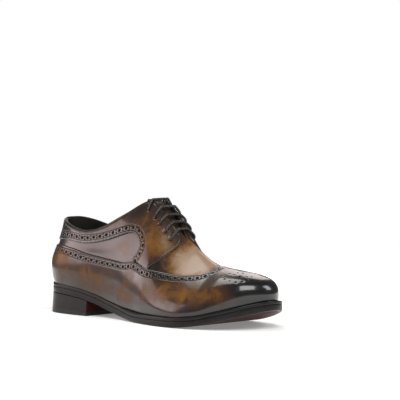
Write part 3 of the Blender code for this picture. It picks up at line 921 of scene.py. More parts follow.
def make_wing(settings, leather, dark, thread):
    """The wing, toothed, punched and grooved, with its rows of stitches."""
    pattern = Pattern()
    lines = wing_lines()
    edge = wing_edge()
    foot = np.stack([np.linspace(0, ROUND, FOOT_POINTS), np.zeros(FOOT_POINTS)], axis=1)
    pattern.draw(foot, OVERLAY_TOP)
    for around in (0.0, float(ROUND)):
        climb = np.linspace(0, WING_EDGE[0][1], SEAM_POINTS)
        seam = np.stack([np.full(SEAM_POINTS, around), climb], axis=1)
        pattern.draw(seam, OVERLAY_TOP)
    ridge_start = WING_EDGE[-1][0]
    ridge = np.stack([np.linspace(ridge_start, TOE, RIDGE_POINTS), np.ones(RIDGE_POINTS)], axis=1)
    pattern.draw(ridge, OVERLAY_TOP)
    pattern.draw(mirrored(ridge), OVERLAY_TOP)
    for line in (edge, mirrored(edge)):
        teeth = gimped(line[::-1])[::-1]
        pattern.draw(teeth, OVERLAY_TOP - EDGE_DROP)
        inner = evenly(line, GIMP_PITCH / 2)
        pattern.draw(trimmed(beside(inner, -EDGE_ROLL), TEETH_TOP, TEETH_HEEL), OVERLAY_TOP)
    for row in lines["holes"]:
        perforate(pattern, row, settings, settings.wing_pitch)
    for row in lines["stitches"]:
        pattern.groove(evenly(row, EDGE_PITCH), settings.groove, -SHOULDER)
    for station, share, diameter in MEDALLION:
        for around in (station, ROUND - station):
            pattern.punch((around, share), diameter / 2, SMALL_SIDES)
    pattern.fill((SEAM_CLEAR, FOOT_CLEAR), (ROUND - SEAM_CLEAR, 1.0))
    wing = pattern.last_it("wing_leather")
    burnish_and_painted_light(wing, WING_TONES, lines["edge"] + [foot[FOOT_BURNISH_AND_SHADE]], WING_PATINA)
    finish_piece(wing, [leather, dark], ["wing"])
    sew("wing_stitches", lines["stitches"], settings, thread, OVERLAY_TOP - settings.groove)


# Patina of the wing, of a facing and of the upper: base, how much darker the edges are, how far in
WING_TONES, FACING_TONES, UPPER_TONES = (0.57, 0.25, 8 * MM), (0.60, 0.20, 6 * MM), (0.64, 0.15, 6 * MM)
# Spots of patina, and on the upper also of painted highlight and shade: station, share, size in metres, how
# much darker or, below zero, lighter
WING_PATINA = (
    (1.9, 0.48, 0.020, -0.40),
    (2.9, 0.36, 0.018, -0.34),
    (3.8, 0.28, 0.016, -0.28),
    (4.7, 0.22, 0.016, -0.28),
    (5.6, 0.18, 0.016, -0.30),
    (6.5, 0.17, 0.016, -0.32),
    (7.5, 0.19, 0.016, -0.28),
    (8.8, 0.27, 0.020, -0.29),
    (10.0, 0.33, 0.021, -0.32),
    (11.0, 0.34, 0.020, -0.32),
    (12.0, 0.32, 0.016, -0.22),
    (12.2, 0.22, 0.014, -0.20),
    (11.8, 0.85, 0.014, -0.22),
    (14.2, 0.72, 0.028, 0.36),
    (15.0, 0.25, 0.034, 0.34),
)
FACING_PATINA = (
    (7.8, 0.66, 0.022, -0.52),
    (7.4, 0.80, 0.016, -0.26),
    (8.2, 0.55, 0.014, -0.18),
    (8.6, 0.66, 0.013, -0.30),
    (1.0, 0.90, 0.030, 0.12),
)
# On the upper, the lighter spots at stations 10.0 and 6.3 are painted highlights where the softboxes'
# reflections fall, and the darker spot at 4.6 is painted shade
UPPER_PATINA_AND_PAINTED_LIGHT = (
    (10.0, 0.60, 0.026, -0.54),
    (9.7, 0.85, 0.024, -0.20),
    (10.4, 0.90, 0.024, -0.26),
    (8.5, 0.50, 0.014, 0.15),
    (6.3, 0.60, 0.012, -0.12),
    (4.6, 0.66, 0.012, 0.15),
)
# Medallion on the toe, each dot on both sides: station, share, diameter
MEDALLION = (
    (13.00, 0.76, 2.6 * MM),
    (12.55, 0.78, 1.3 * MM),
    (12.20, 0.80, 1.3 * MM),
    (11.95, 0.72, 1.3 * MM),
    (12.20, 0.64, 1.3 * MM),
    (12.55, 0.58, 1.3 * MM),
    (12.90, 0.54, 1.3 * MM),
    (13.22, 0.56, 1.3 * MM),
    (13.48, 0.63, 1.3 * MM),
    (13.50, 0.76, 1.5 * MM),
    (13.90, 0.78, 1.3 * MM),
    (12.60, 0.90, 1.3 * MM),
    (13.05, 0.92, 1.3 * MM),
)


def facing_lines():
    """One facing's outline and rows on the lateral side, as lines in the order that its edge is cut."""
    low = curve_through(FACING_LOW[:14])
    sole_side = curve_through(FACING_LOW[13:])
    front = curve_through(FACING_LOW[-1:] + FACING_FRONT + FACING_THROAT[:3])
    heel, heel_share = FACING_LOW[0]
    top = np.stack([np.linspace(FACING_THROAT[2][0], heel, TOP_POINTS), np.ones(TOP_POINTS)], axis=1)
    back = np.stack([np.full(BACK_POINTS, heel), np.linspace(1, heel_share, BACK_POINTS)], axis=1)
    front[:, 1] = np.minimum(front[:, 1], 1.0)
    return low, sole_side, front, top, back


def make_facing(name, side, settings, leather, dark):
    """One facing with its collar band, punched and grooved. Gives back its rows of stitches."""
    pattern = Pattern()
    segments = list(facing_lines())
    if side == MEDIAL:
        segments = [mirrored(line) for line in reversed(segments)]
        _, top, front, sole_side, low = segments
    else:
        low, sole_side, front, top, _ = segments
    for line in segments:
        even = evenly(line, EDGE_PITCH)
        if line is low:
            even = gimped(line)
        pattern.draw(even, OVERLAY_TOP - EDGE_DROP)
    even_low, even_sole, even_front, even_top = (
        evenly(line, EDGE_PITCH) for line in (low, sole_side, front, top))
    for line in (even_low, even_sole, even_front, even_top):
        pattern.draw(beside(line, EDGE_ROLL)[1:-1], OVERLAY_TOP)
    holes = beside(even_low, settings.collar_band)
    stitches = [beside(even_low, settings.collar_band + offset) for offset in COLLAR_STITCHES]
    stitches += [beside(even_front, FRONT_ROW)[ROW_TRIM], beside(even_top, TOP_ROW)[ROW_TRIM]]
    perforate(pattern, holes, settings, settings.collar_pitch)
    for row in stitches:
        pattern.groove(row, settings.groove, SHOULDER)
    for station, share, _ in EYELETS:
        pattern.punch((round_to(side, station), share), settings.eyelet / 2, BIG_SIDES, through=True)
    first, last = sorted((round_to(side, SEAM_CLEAR), round_to(side, FACING_FURTHEST)))
    pattern.fill((first, FACING_LOWEST), (last, 1.0))
    piece = pattern.last_it(name)
    burnish_and_painted_light(piece, FACING_TONES, [low, sole_side, front], FACING_PATINA)
    node = "facing_lateral" if side == LATERAL else "facing_medial"
    finish_piece(piece, [leather, dark], [node])
    return stitches


def make_upper(leather, lining, edge, pins):
    """Vamp and quarters in one wall, lined, open at the collar and the throat."""
    def place(across, up):
        return lay(np.stack([across * ROUND, up], axis=1), relief_of_upper(across * ROUND, up))

    upper = grid_piece("upper_leather", UPPER_COLUMNS, UPPER_ROWS, place)
    collar = facing_lines()[0]
    burnish_and_painted_light(upper, UPPER_TONES, wing_lines()["edge"] + [collar, mirrored(collar)], UPPER_PATINA_AND_PAINTED_LIGHT)
    for material in (leather, lining, edge):
        upper.data.materials.append(material)
    apply(upper, "SOLIDIFY", thickness=UPPER_WALL, offset=-1.0, material_offset=1, material_offset_rim=2)
    apply(upper, "BOOLEAN", operation="DIFFERENCE", solver="EXACT", object=pins)
    apply(upper, "TRIANGULATE", min_vertices=5)
    finish_piece(upper, [leather, lining, edge], ["upper"])
    return upper


def relief_of_upper(around, share):
    """Soft troughs and ridges of the lasted leather: station, share, size, depth."""
    station = station_of(around)
    height = np.zeros(len(station))
    for at, up, wide, tall, depth in UPPER_CREASES:
        height += depth * np.exp(-((station - at) / wide) ** 2 - ((share - up) / tall) ** 2)
    return height


# Troughs and ridges of the upper, listed one by one: station, share, widths along and up, height
UPPER_CREASES = (
    (8.7, 0.62, 0.25, 0.12, -0.30 * MM),
    (9.2, 0.66, 0.25, 0.12, 0.20 * MM),
    (6.0, 0.58, 0.45, 0.08, -0.30 * MM),
    (5.3, 0.66, 0.60, 0.07, 0.20 * MM),
    (4.4, 0.60, 0.80, 0.07, -0.25 * MM),
    (9.8, 0.72, 0.20, 0.25, -0.15 * MM),
    (10.2, 0.55, 0.22, 0.12, 0.15 * MM),
)


def eyelet_pins(settings):
    """Pins that punch the lace holes through the upper."""
    places = np.array([(round_to(side, station), share)
                       for side in (LATERAL, MEDIAL) for station, share, _ in EYELETS])
    ahead, _ = tangents(places)
    normal = out_of_last(places)
    ahead = laid_flat(ahead, normal)
    deselect()
    bpy.ops.mesh.primitive_cylinder_add(vertices=PIN_SIDES, radius=settings.eyelet / 2, depth=PIN_DEPTH)
    pin = bpy.context.object
    pins = scatter("eyelet_pins", pin, lay(places), (ahead, np.cross(normal, ahead), normal))
    remove(pin)
    return pins


def spot(side, station, share, height):
    return lay([(round_to(side, station), share)], height)[0]


def make_tongue(leather, dark):
    """Strap of leather under the lacing, crowned between the facings."""
    rows = curve_through(TONGUE_SECTIONS, 8)

    def place(across, up):
        index = np.round(up * (len(rows) - 1 + TIP_ROWS)).astype(int) - TIP_ROWS
        tip = np.maximum(-index, 0) / TIP_ROWS
        station, edge, depth = rows[np.maximum(index, 0)].T
        edge = edge + TIP_NARROWS * tip ** 2
        lateral = across <= 0.5
        off_middle = np.abs(2 * across - 1)
        share = edge + (1 - edge) * (1 - off_middle)
        around = np.where(lateral, station, ROUND - station)
        points = on_last(np.stack([around, share], axis=1))
        normals = out_of_last(np.stack([around, share], axis=1))
        middle = (1 - off_middle ** 2) * np.clip((TONGUE_CROWN_END - station) / 2, 0, 1)
        points = points - normals * (depth - TONGUE_CROWN * middle)[:, None] + LAST_TO_FRAME
        first, second = (on_last(np.stack([np.where(lateral, at, ROUND - at), share], axis=1))
                         for at in (rows[0][0], rows[1][0]))
        points += unit(first - second) * TONGUE_TIP * tip[:, None]
        points[:, 2] += TIP_RISE * tip ** 1.5
        return points

    tongue = grid_piece("tongue_leather", TONGUE_COLUMNS, len(rows) - 1 + TIP_ROWS, place)
    if mean_normal(tongue).z < 0:
        edit_all(tongue, (bpy.ops.mesh.flip_normals, {}))
    tongue.data.materials.append(leather)
    tongue.data.materials.append(dark)
    apply(tongue, "SOLIDIFY", thickness=TONGUE, offset=-1.0, material_offset=1)
    return finish_piece(tongue, [leather, dark], ["tongue"])


def mean_normal(piece):
    return sum((face.normal * face.area for face in piece.data.polygons), Vector())


def lace_route():
    """Places of the one lace, as (side, station, share, height): five bars over, runs under between them."""
    side = LATERAL
    top_station, top_share, _ = EYELETS[0]
    route = [(side, top_station - HIDDEN_END_BACK, top_share - HIDDEN_END_DOWN, LACE_UNDER)]
    for k, (station, share, edge) in enumerate(EYELETS):
        half_bar = [
            (station, share, MOUTH_UNDER),
            (station, share, MOUTH_OVER),
            (station, share + BAR_LEVELS_AFTER, LACE_OVER),
            (station, (share + BAR_LEVELS_AFTER + edge) / 2, LACE_OVER),
            (station, edge, LACE_OVER),
        ]
        route += [(side, *place) for place in half_bar]
        side = -side
        route += [(side, *place) for place in reversed(half_bar)]
        if k + 1 < len(EYELETS):
            next_station, next_share, _ = EYELETS[k + 1]
            route.append((side, (station + next_station) / 2, (share + next_share) / 2, LACE_UNDER))
    for station, share, _ in reversed(EYELETS):
        route.append((side, station - END_RUN_BACK, share + END_RUN_UP, LACE_UNDER))
    return route


def tube(name, points, radius, sides):
    """A round tube along points, made from a path primitive, with its run and turn noted for a braid."""
    deselect()
    bpy.ops.curve.primitive_nurbs_path_add()
    path = bpy.context.object
    path.name = name
    curve = path.data
    curve.splines.clear()
    line = curve.splines.new("POLY")
    line.points.add(len(points) - 1)
    for knot, point in zip(line.points, points):
        knot.co = (*point, 1)
    curve.bevel_depth = radius
    curve.bevel_resolution = (sides - 4) // 2
    curve.use_fill_caps = True
    curve.resolution_u = 1
    only(path)
    bpy.ops.object.convert(target="MESH")
    piece = bpy.context.object
    piece.name = piece.data.name = name
    tree = tree_of(points)
    near = [tree.find(vertex.co)[1] for vertex in piece.data.vertices]
    count = len(piece.data.vertices)
    ring = count // len(points)
    note(piece, "run", run_through(points)[near])
    note(piece, "turn", np.arange(count) % ring / ring)
    return piece


def make_laces(settings, braid):
    """The lace along its route, each bar crowned a little."""
    route = lace_route()
    places = [spot(*route[0])]
    for before, place in zip(route, route[1:]):
        point = spot(*place)
        if place[0] != before[0] and place[3] > 0:
            start = places[-1]
            for part in BAR_PARTS:
                crown = BAR_CROWN * 4 * part * (1 - part)
                places.append(start + (point - start) * part + np.array((0, 0, crown)))
        places.append(point)
    points = curve_through(places, 8)
    lace = tube("lace", points, settings.lace / 2, LACE_SIDES)
    return finish_piece(lace, [braid], ["laces"], angle=60)


# Station where the folded topline ends on each side, and its points along one side
TOPLINE_END, TOPLINE_POINTS = 6.9, 160
# How far the topline's centre lies under the last's surface, and how far it is raised
TOPLINE_IN, TOPLINE_UP = 0.3 * MM, 0.1 * MM


def make_topline(settings, edge):
    """Folded edge that runs round the collar."""
    lateral = np.linspace(0, TOPLINE_END, TOPLINE_POINTS)
    around = np.concatenate([ROUND - lateral[:0:-1], lateral])
    line = np.stack([around, np.full(len(around), 1.0)], axis=1)
    points = lay(line, -TOPLINE_IN)
    points[:, 2] += TOPLINE_UP
    bead = tube("topline_edge", points, settings.topline_bead / 2, BEAD_SIDES)
    return finish_piece(bead, [edge])


# Bottom of the shoe

OUTSOLE_COLUMNS, WELT_COLUMNS, SOCK_COLUMNS = 720, 1080, 240
TRIM_POINTS = 1500
# How squarely a face must look down or forward to be dyed red
FACES_OUT = 0.6
# The stitch channel of the underside and the ring where the flat middle begins, in from the edge
CHANNEL, FLAT_FROM = 4.5 * MM, 12 * MM
# The welt's groove as a share of the margin: its middle and half its width
WELT_GROOVE, WELT_GROOVE_HALF = 0.44, 0.14
# The welt's stitches: length of the whole row, how deep they lie
WELT_RUN, WELT_STITCH_DEPTH = 0.66, 0.12 * MM
# Height below which the heel's faces are rubber, as a share of the top piece's own
RUBBER_SHARE = 0.9


def outline(around, margin):
    """Plan of a line at a margin from the feather edge, in the last's axes."""
    station = station_of(around)
    plan_l, normal_l = feather(LATERAL, np.minimum(station, TOE))
    plan_m, normal_m = feather(MEDIAL, np.minimum(station, TOE))
    lateral = (around <= TOE)[:, None]
    plan = np.where(lateral, plan_l, plan_m)
    normal = np.where(lateral, normal_l, normal_m)
    other = np.where(lateral, plan_m, plan_l)
    margins = margin(plan[:, 0]) if callable(margin) else margin
    margins = np.broadcast_to(margins, len(plan))[:, None]
    other_normal = np.where(lateral, normal_m, normal_l)
    return plan + normal * margins, ((plan + other) + (normal + other_normal) * margins) / 2


def even_round(count):
    """Stations round the foot at an even pitch along the sole's edge."""
    dense = np.linspace(0, ROUND, SOLE_POINTS)
    plan, _ = outline(dense, sole_margin)
    run = run_through(plan)
    stations = np.interp(np.linspace(0, run[-1], count + 1), run, dense)
    stations[count // 2] = TOE
    half = stations[:count // 2 + 1]
    return np.concatenate([half, ROUND - half[-2::-1]])


def plate(name, columns, rows):
    """A solid round the whole foot from rows of (margin, share in to the middle, height by x)."""
    stations = even_round(columns)

    def place(across, up):
        around = stations[np.round(across * columns).astype(int)]
        row = np.round(up * (len(rows) - 1)).astype(int)
        points = np.empty((len(around), 3))
        for k, (margin, inward, height) in enumerate(rows):
            here = row == k
            edge, middle = outline(around[here], margin)
            flat = edge + (middle - edge) * inward
            points[here] = np.column_stack([flat, height(flat[:, 0])])
        return points + LAST_TO_FRAME

    return grid_piece(name, columns, len(rows) - 1, place)


def inside_edge(distance):
    return lambda x: sole_margin(x) - distance


def outsole_top(x):
    return welt_top(x) - WELT - GAP


def make_outsole(edge, bottom):
    """Leather outsole: trimmed edge, stitch channel and a burnished red underside."""
    def up(rise):
        return lambda x: sole_bottom(x) + rise

    def down(fall):
        return lambda x: outsole_top(x) - fall

    rows = [
        (inside_edge(FLAT_FROM), 1.0, up(0)),
        (inside_edge(FLAT_FROM), 0.5, up(0)),
        (inside_edge(FLAT_FROM), 0.0, up(0)),
        (inside_edge(CHANNEL + 0.7 * MM), 0, up(0)),
        (inside_edge(CHANNEL + 0.3 * MM), 0, up(0.35 * MM)),
        (inside_edge(CHANNEL - 0.3 * MM), 0, up(0.35 * MM)),
        (inside_edge(CHANNEL - 0.7 * MM), 0, up(0)),
        (inside_edge(1.0 * MM), 0, up(0)),
        (inside_edge(0.4 * MM), 0, up(0.12 * MM)),
        (inside_edge(0.1 * MM), 0, up(0.5 * MM)),
        (inside_edge(0.0), 0, up(1.2 * MM)),
        (inside_edge(0.0), 0, down(0.8 * MM)),
        (inside_edge(0.1 * MM), 0, down(0.3 * MM)),
        (inside_edge(0.5 * MM), 0, down(0.0)),
        (inside_edge(FLAT_FROM), 0, down(0.0)),
        (inside_edge(FLAT_FROM), 1.0, down(0.0)),
    ]
    outsole = plate("outsole_leather", OUTSOLE_COLUMNS, rows)
    plan, _ = outline(np.linspace(0, ROUND, TRIM_POINTS), inside_edge(0.0))
    trim = tree_of(np.column_stack([plan + LAST_TO_FRAME[:2], np.zeros(TRIM_POINTS)]))
    for face in outsole.data.polygons:
        inside = trim.find((face.center.x, face.center.y, 0))[2] > CHANNEL
        face.material_index = 1 if inside and face.normal.z < -FACES_OUT else 0
    return finish_piece(outsole, [edge, bottom], ["outsole"], angle=50)


def make_welt(settings, edge, thread):
    """Welt: rounded, with a row of stitches sunk in a groove."""
    inner = -(UPPER_WALL + 2 * GAP)

    def top(fall):
        return lambda x: welt_top(x) - fall

    def bottom(rise):
        return lambda x: welt_top(x) - WELT + rise

    def row_at(share):
        return lambda x: sole_margin(x) * share

    rows = [
        (inner, 0, top(0)),
        (row_at(WELT_GROOVE - WELT_GROOVE_HALF), 0, top(0)),
        (row_at(WELT_GROOVE), 0, top(0.25 * MM)),
        (row_at(WELT_GROOVE + WELT_GROOVE_HALF), 0, top(0)),
        (inside_edge(0.7 * MM), 0, top(0)),
        (inside_edge(0.25 * MM), 0, top(0.12 * MM)),
        (inside_edge(0.0), 0, top(0.6 * MM)),
        (inside_edge(0.0), 0, bottom(0.5 * MM)),
        (inside_edge(0.3 * MM), 0, bottom(0.0)),
        (inner, 0, bottom(0.0)),
        (inner, 0, top(0)),
    ]
    welt = plate("welt_leather", WELT_COLUMNS, rows)
    finish_piece(welt, [edge], ["welt"], angle=40)
    stations = even_round(int(round(WELT_RUN / settings.welt_pitch)))[1:-1]
    edge_line, _ = outline(stations, row_at(WELT_GROOVE))
    points = np.column_stack([edge_line, welt_top(edge_line[:, 0]) - WELT_STITCH_DEPTH]) + LAST_TO_FRAME
    ahead = unit(np.gradient(points, axis=0))
    upward = np.tile((0.0, 0.0, 1.0), (len(points), 1))
    across = unit(np.cross(upward, ahead))
    size = (settings.welt_pitch * 0.8, settings.thread * 1.5, settings.thread)
    set_stitches("welt_stitches", points, (ahead, across, np.cross(ahead, across)), size, thread)


def make_insole(sock):
    """Insole, covered with its sock lining."""
    inner = -(UPPER_WALL + 3 * GAP)

    def low(x):
        return welt_top(x) - WELT

    def high(fall):
        return lambda x: welt_top(x) + INSOLE_RISE - fall

    rows = [
        (inner, 1.0, low),
        (inner, 0.0, low),
        (inner, 0.0, high(0.6 * MM)),
        (inner - 0.6 * MM, 0.0, high(0)),
        (inner - FLAT_FROM, 0.0, high(0.3 * MM)),
        (inner - FLAT_FROM, 0.6, high(0.6 * MM)),
        (inner - FLAT_FROM, 1.0, high(0.6 * MM)),
    ]
    insole = plate("sock_lining", SOCK_COLUMNS, rows)
    return finish_piece(insole, [sock], ["insole"])


# Share of the heel's height that the rubber top piece takes
TOP_PIECE = 0.28
# The heel's columns along each side and across its breast
HEEL_SIDE, HEEL_ACROSS = 60, 16


def make_heel(edge, rubber, breast_dye):
    """Blackened heel block with a red breast, on a rubber top piece that meets the ground."""
    lateral = np.linspace(0, HEEL_BREAST, HEEL_SIDE + 1)
    no_cross = np.zeros(HEEL_SIDE + 1)
    around = np.concatenate([lateral, np.full(HEEL_ACROSS - 1, HEEL_BREAST), ROUND - lateral[::-1]])
    cross = np.concatenate([no_cross, np.arange(1, HEEL_ACROSS) / HEEL_ACROSS, no_cross])
    columns = len(around) - 1
    rows = heel_rows()

    def place(across, up):
        column = np.round(across * columns).astype(int)
        row = np.round(up * (len(rows) - 1)).astype(int)
        points = np.empty((len(column), 3))
        for k, (inward, height, inset) in enumerate(rows):
            here = row == k
            stations = around[column[here]]
            share = cross[column[here]][:, None]

            def margin(x):
                return sole_margin(x) + HEEL_FLARE * (1 - height) - inset

            plan, middle = outline(stations, margin)
            far, _ = outline(ROUND - stations, margin)
            flat = plan + (far - plan) * share
            flat = flat + (middle - flat) * inward
            top = sole_bottom(flat[:, 0]) - GAP
            points[here] = np.column_stack([flat, top * height])
        return points + LAST_TO_FRAME

    heel = grid_piece("heel_stack", columns, len(rows) - 1, place)
    rubber_top = (TOP_PIECE - 0.01) * (HEEL_HEIGHT - GAP) * RUBBER_SHARE
    for face in heel.data.polygons:
        if face.center.z < rubber_top:
            face.material_index = 1
        elif face.normal.x > FACES_OUT:
            face.material_index = 2
    return finish_piece(heel, [edge, rubber, breast_dye], ["heel"], angle=30)


def heel_rows():
    """Rows of the heel from the middle of its underside up.

    Each has a share of the way in to the middle, a share of the height and an inset.
    """
    underside = [(1.0, 0.0, 0.0), (0.5, 0.0, 0.0), (0.05, 0.0, 0.0), (0.0, 0.0, 0.3 * MM), (0.0, 0.02, 0.0)]
    seam = [
        (0.0, TOP_PIECE - 0.010, 0.0),
        (0.0, TOP_PIECE - 0.003, 0.12 * MM),
        (0.0, TOP_PIECE + 0.003, 0.12 * MM),
        (0.0, TOP_PIECE + 0.010, 0.0),
    ]
    top = [(0.0, 0.985, 0.0), (0.0, 1.0, 0.3 * MM), (0.05, 1.0, 0.3 * MM), (1.0, 1.0, 0.3 * MM)]
    return underside + seam + top


# Studio

CAMERA_TARGET = np.array((0.150, 0.0, 0.040)) + LAST_TO_FRAME
CAMERA_DISTANCE = 2.280
CAMERA_ROUND, CAMERA_UP = math.radians(46.0), math.radians(5.0)
FOCAL_LENGTH = 200.48
# How far right of the target and above it the camera aims
AIM_RIGHT, AIM_UP = 0.0409, 0.0818
FLOOR_RADIUS = 0.8
GLOW_FROM, GLOW_TO = 0.16, 0.7
GLOW_NEAR, GLOW_FAR = 0.22, 0.75
# Softboxes: name, place, what they face, size, colour
SOFTBOXES = (
    ("overhead", (-0.55, -0.05, 1.50), (0, 0, 0), (0.90, 1.00), (1, 0.97, 0.93)),
    ("side", (-1.28, -1.02, 0.49), (0, 0, 0.05), (1.20, 0.74), (1.0, 0.80, 0.78)),
    ("window", (1.02, -0.70, 1.10), (0.10, 0, 0.04), (0.90, 0.95), (0.96, 1.0, 0.97)),
    ("far_window", (1.15, 0.75, 0.85), (0.10, 0, 0.04), (0.60, 0.80), (1.0, 0.98, 1.0)),
    ("backlight", (-1.10, 1.10, 0.95), (0, 0, 0.05), (1.10, 0.80), (1.0, 0.90, 0.86)),
)


def make_camera():
    level = math.cos(CAMERA_UP)
    back = Vector((math.sin(CAMERA_ROUND) * level, -math.cos(CAMERA_ROUND) * level, math.sin(CAMERA_UP)))
    right = Vector((math.cos(CAMERA_ROUND), math.sin(CAMERA_ROUND), 0))
    up = back.cross(right)
    target = Vector(CAMERA_TARGET)
    place = target + CAMERA_DISTANCE * back
    aim = target + AIM_RIGHT * right + AIM_UP * up
    bpy.ops.object.camera_add(location=place)
    camera = bpy.context.object
    camera.name = "camera"
    camera.rotation_euler = (aim - place).to_track_quat("-Z", "Y").to_euler()
    camera.data.lens = FOCAL_LENGTH
    camera.data.sensor_width = 36
    bpy.context.scene.camera = camera


def softbox(name, place, aim, size, power, colour):
    bpy.ops.object.light_add(type="AREA", location=place)
    light = bpy.context.object
    light.name = light.data.name = name
    light.rotation_euler = (Vector(aim) - Vector(place)).to_track_quat("-Z", "Y").to_euler()
    light.data.shape = "RECTANGLE"
    light.data.size, light.data.size_y = size
    light.data.energy = power
    light.data.color = colour
    light.visible_camera = False


def make_world(strength):
    """A dim grey room that the leather reflects, with a white background behind the shoe."""
    world = bpy.data.worlds.new("studio")
    bpy.context.scene.world = world
    world.use_nodes = True
    tree = world.node_tree
    room = tree.nodes["Background"]
    room.inputs["Color"].default_value = (1, 1, 1, 1)
    room.inputs["Strength"].default_value = strength
    paper = add_node(tree, "ShaderNodeBackground", Color=(1, 1, 1, 1), Strength=1.0)
    seen = tree.nodes.new("ShaderNodeLightPath").outputs["Is Camera Ray"]
    both = add_node(tree, "ShaderNodeMixShader", Fac=seen)
    tree.links.new(room.outputs["Background"], both.inputs[1])
    tree.links.new(paper.outputs["Background"], both.inputs[2])
    tree.links.new(both.outputs["Shader"], tree.nodes["World Output"].inputs["Surface"])


def make_stage(settings):
    deselect()
    bpy.ops.mesh.primitive_circle_add(vertices=128, radius=FLOOR_RADIUS, fill_type="NGON")
    floor = bpy.context.object
    floor.name = floor.data.name = "floor"
    floor.data.materials.append(pale_floor("floor_paper", settings.floor_colour))
    make_world(settings.world_strength)
    powers = (settings.overhead, settings.side_light, settings.window_light, settings.far_window,
              settings.backlight)
    for (name, place, aim, size, colour), power in zip(SOFTBOXES, powers):
        softbox(name, place, aim, size, power, colour)
    bpy.context.scene.view_settings.view_transform = "Standard"
    make_camera()


# Settings, operators and panel

def length_setting(name, description, default):
    return bpy.props.FloatProperty(name=name, description=description, default=default, unit="LENGTH",
                                   subtype="DISTANCE", precision=5, min=0)


def colour_setting(name, description, default):
    return bpy.props.FloatVectorProperty(name=name, description=description, default=default,
                                         subtype="COLOR", size=3, min=0, max=1)


def strength_setting(name, description, default):
    return bpy.props.FloatProperty(name=name, description=description, default=default, min=0)


class BrogueHoles(bpy.types.PropertyGroup):
    """Broguing and stitching sizes."""
    big_hole: length_setting("Big hole", "Diameter of the big holes", 3.0 * MM)
    small_hole: length_setting("Small hole", "Diameter of the small holes of a pair", 1.3 * MM)
    pair_spread: length_setting("Pair spread", "Distance between the two holes of a pair", 3.0 * MM)
    wing_pitch: length_setting("Wing pitch", "Distance between big holes along the wing", 8.4 * MM)
    collar_pitch: length_setting("Collar pitch", "Distance between big holes along the collar", 9.4 * MM)
    collar_band: length_setting("Collar band", "Distance of the collar's holes from its edge", 5.4 * MM)
    eyelet: length_setting("Eyelet", "Diameter of the punched lace holes", 3.6 * MM)
    stitch_pitch: length_setting("Stitch pitch", "Distance between stitches", 2.2 * MM)
    stitch_length: length_setting("Stitch length", "Visible length of a stitch", 1.8 * MM)
    thread: length_setting("Thread", "Thickness of the sewing thread", 0.5 * MM)
    groove: length_setting("Groove", "How deep a row of stitches pulls into the leather", 0.25 * MM)
    welt_pitch: length_setting("Welt pitch", "Distance between the welt's stitches", 3.0 * MM)
    lace: length_setting("Lace", "Diameter of the lace", 2.7 * MM)
    topline_bead: length_setting("Topline", "Thickness of the folded topline edge", 1.8 * MM)


class BrogueColours(bpy.types.PropertyGroup):
    """Leather colours."""
    golden: colour_setting("Golden", "Lightest patina of the calf", (0.160, 0.072, 0.018))
    brown: colour_setting("Brown", "Middle patina of the calf", (0.055, 0.025, 0.012))
    dusk: colour_setting("Dusk", "Dark mauve-brown patina", (0.024, 0.014, 0.011))
    night: colour_setting("Night", "Darkest patina, nearly black", (0.006, 0.0055, 0.0055))
    # The pale vamp colour is partly a painted highlight of the softbox above, lighter than the vamp's own
    # tan
    vamp: colour_setting("Vamp", "Pale beige of the vamp", (0.28, 0.185, 0.125))
    tongue: colour_setting("Tongue", "Dull brown of the tongue", (0.030, 0.017, 0.011))
    lining: colour_setting("Lining", "Lining leather", (0.012, 0.010, 0.007))
    edge: colour_setting("Edge", "Blackened sole and heel edge", (0.010, 0.009, 0.009))
    bottom: colour_setting("Bottom", "Red of the outsole's underside", (0.045, 0.005, 0.005))
    lace: colour_setting("Lace", "Lace", (0.009, 0.009, 0.010))


class BrogueStudio(bpy.types.PropertyGroup):
    """Studio light."""
    floor_colour: colour_setting("Floor", "Floor", (0.90, 0.90, 0.90))
    world_strength: strength_setting("World", "Even light of the room", 0.10)
    overhead: strength_setting("Overhead", "Softbox above, in watts", 11)
    side_light: strength_setting("Side", "Softbox on the heel's side, in watts", 11)
    window_light: strength_setting("Window", "Softbox before the toe, in watts", 19)
    far_window: strength_setting("Far window", "Softbox beyond the toe, in watts", 9)
    backlight: strength_setting("Backlight", "Softbox behind the shoe, in watts", 5)


def shared(make, name, *settings):
    """A material made once and shared."""
    return bpy.data.materials.get(name) or make(name, *settings)


def patina(colours):
    return ((0.0, colours.golden), (0.36, colours.brown), (0.62, colours.dusk), (0.92, colours.night))


def calf_dark(colours):
    return shared(calf, "calf_patina", patina(colours), 0.32, 0.13, 0.35, 0.03)


def calf_vamp(colours):
    # The light end of the vamp's ramp, where the upper's lightest spot falls, is partly painted highlight
    stops = ((0.0, colours.vamp), (0.27, colours.golden), (0.44, colours.brown), (0.66, colours.dusk),
             (0.95, colours.night))
    return shared(calf, "calf_vamp", stops, 0.34, 0.19, 0.35, 0.45)


# Near-black leather: on the hole floors it is painted shade; it also backs the tongue
def painted_shade_black():
    return shared(plain_leather, "hole_backing", (0.006, 0.005, 0.005), 0.7)


def sewing_thread():
    return shared(plain_leather, "sewing_thread", (0.016, 0.012, 0.011), 0.5)


def edge_black(colours):
    return shared(plain_leather, "blacked_edge", tuple(colours.edge), 0.34, 0.3, 500, 0.22)


def bottom_red(colours):
    return shared(plain_leather, "red_bottom", tuple(colours.bottom), 0.5, 0.4, 400, 0.10)


class BROGUE_OT_upper(bpy.types.Operator):
    """Lasted vamp and quarters, lined, with the folded topline"""
    bl_idname = "brogue.upper"
    bl_label = "Upper"

    def execute(self, context):
        holes, colours = context.scene.brogue_holes, context.scene.brogue_colours
        lining = shared(plain_leather, "lining", tuple(colours.lining), 0.55)
        pins = eyelet_pins(holes)
        make_upper(calf_vamp(colours), lining, edge_black(colours), pins)
        remove(pins)
        make_topline(holes, edge_black(colours))
        return {"FINISHED"}


class BROGUE_OT_wing(bpy.types.Operator):
    """Wing that runs from the toe round the heel, punched, gimped and stitched"""
    bl_idname = "brogue.wing"
    bl_label = "Wing"

    def execute(self, context):
        make_wing(context.scene.brogue_holes, calf_dark(context.scene.brogue_colours), painted_shade_black(),
                  sewing_thread())
        return {"FINISHED"}


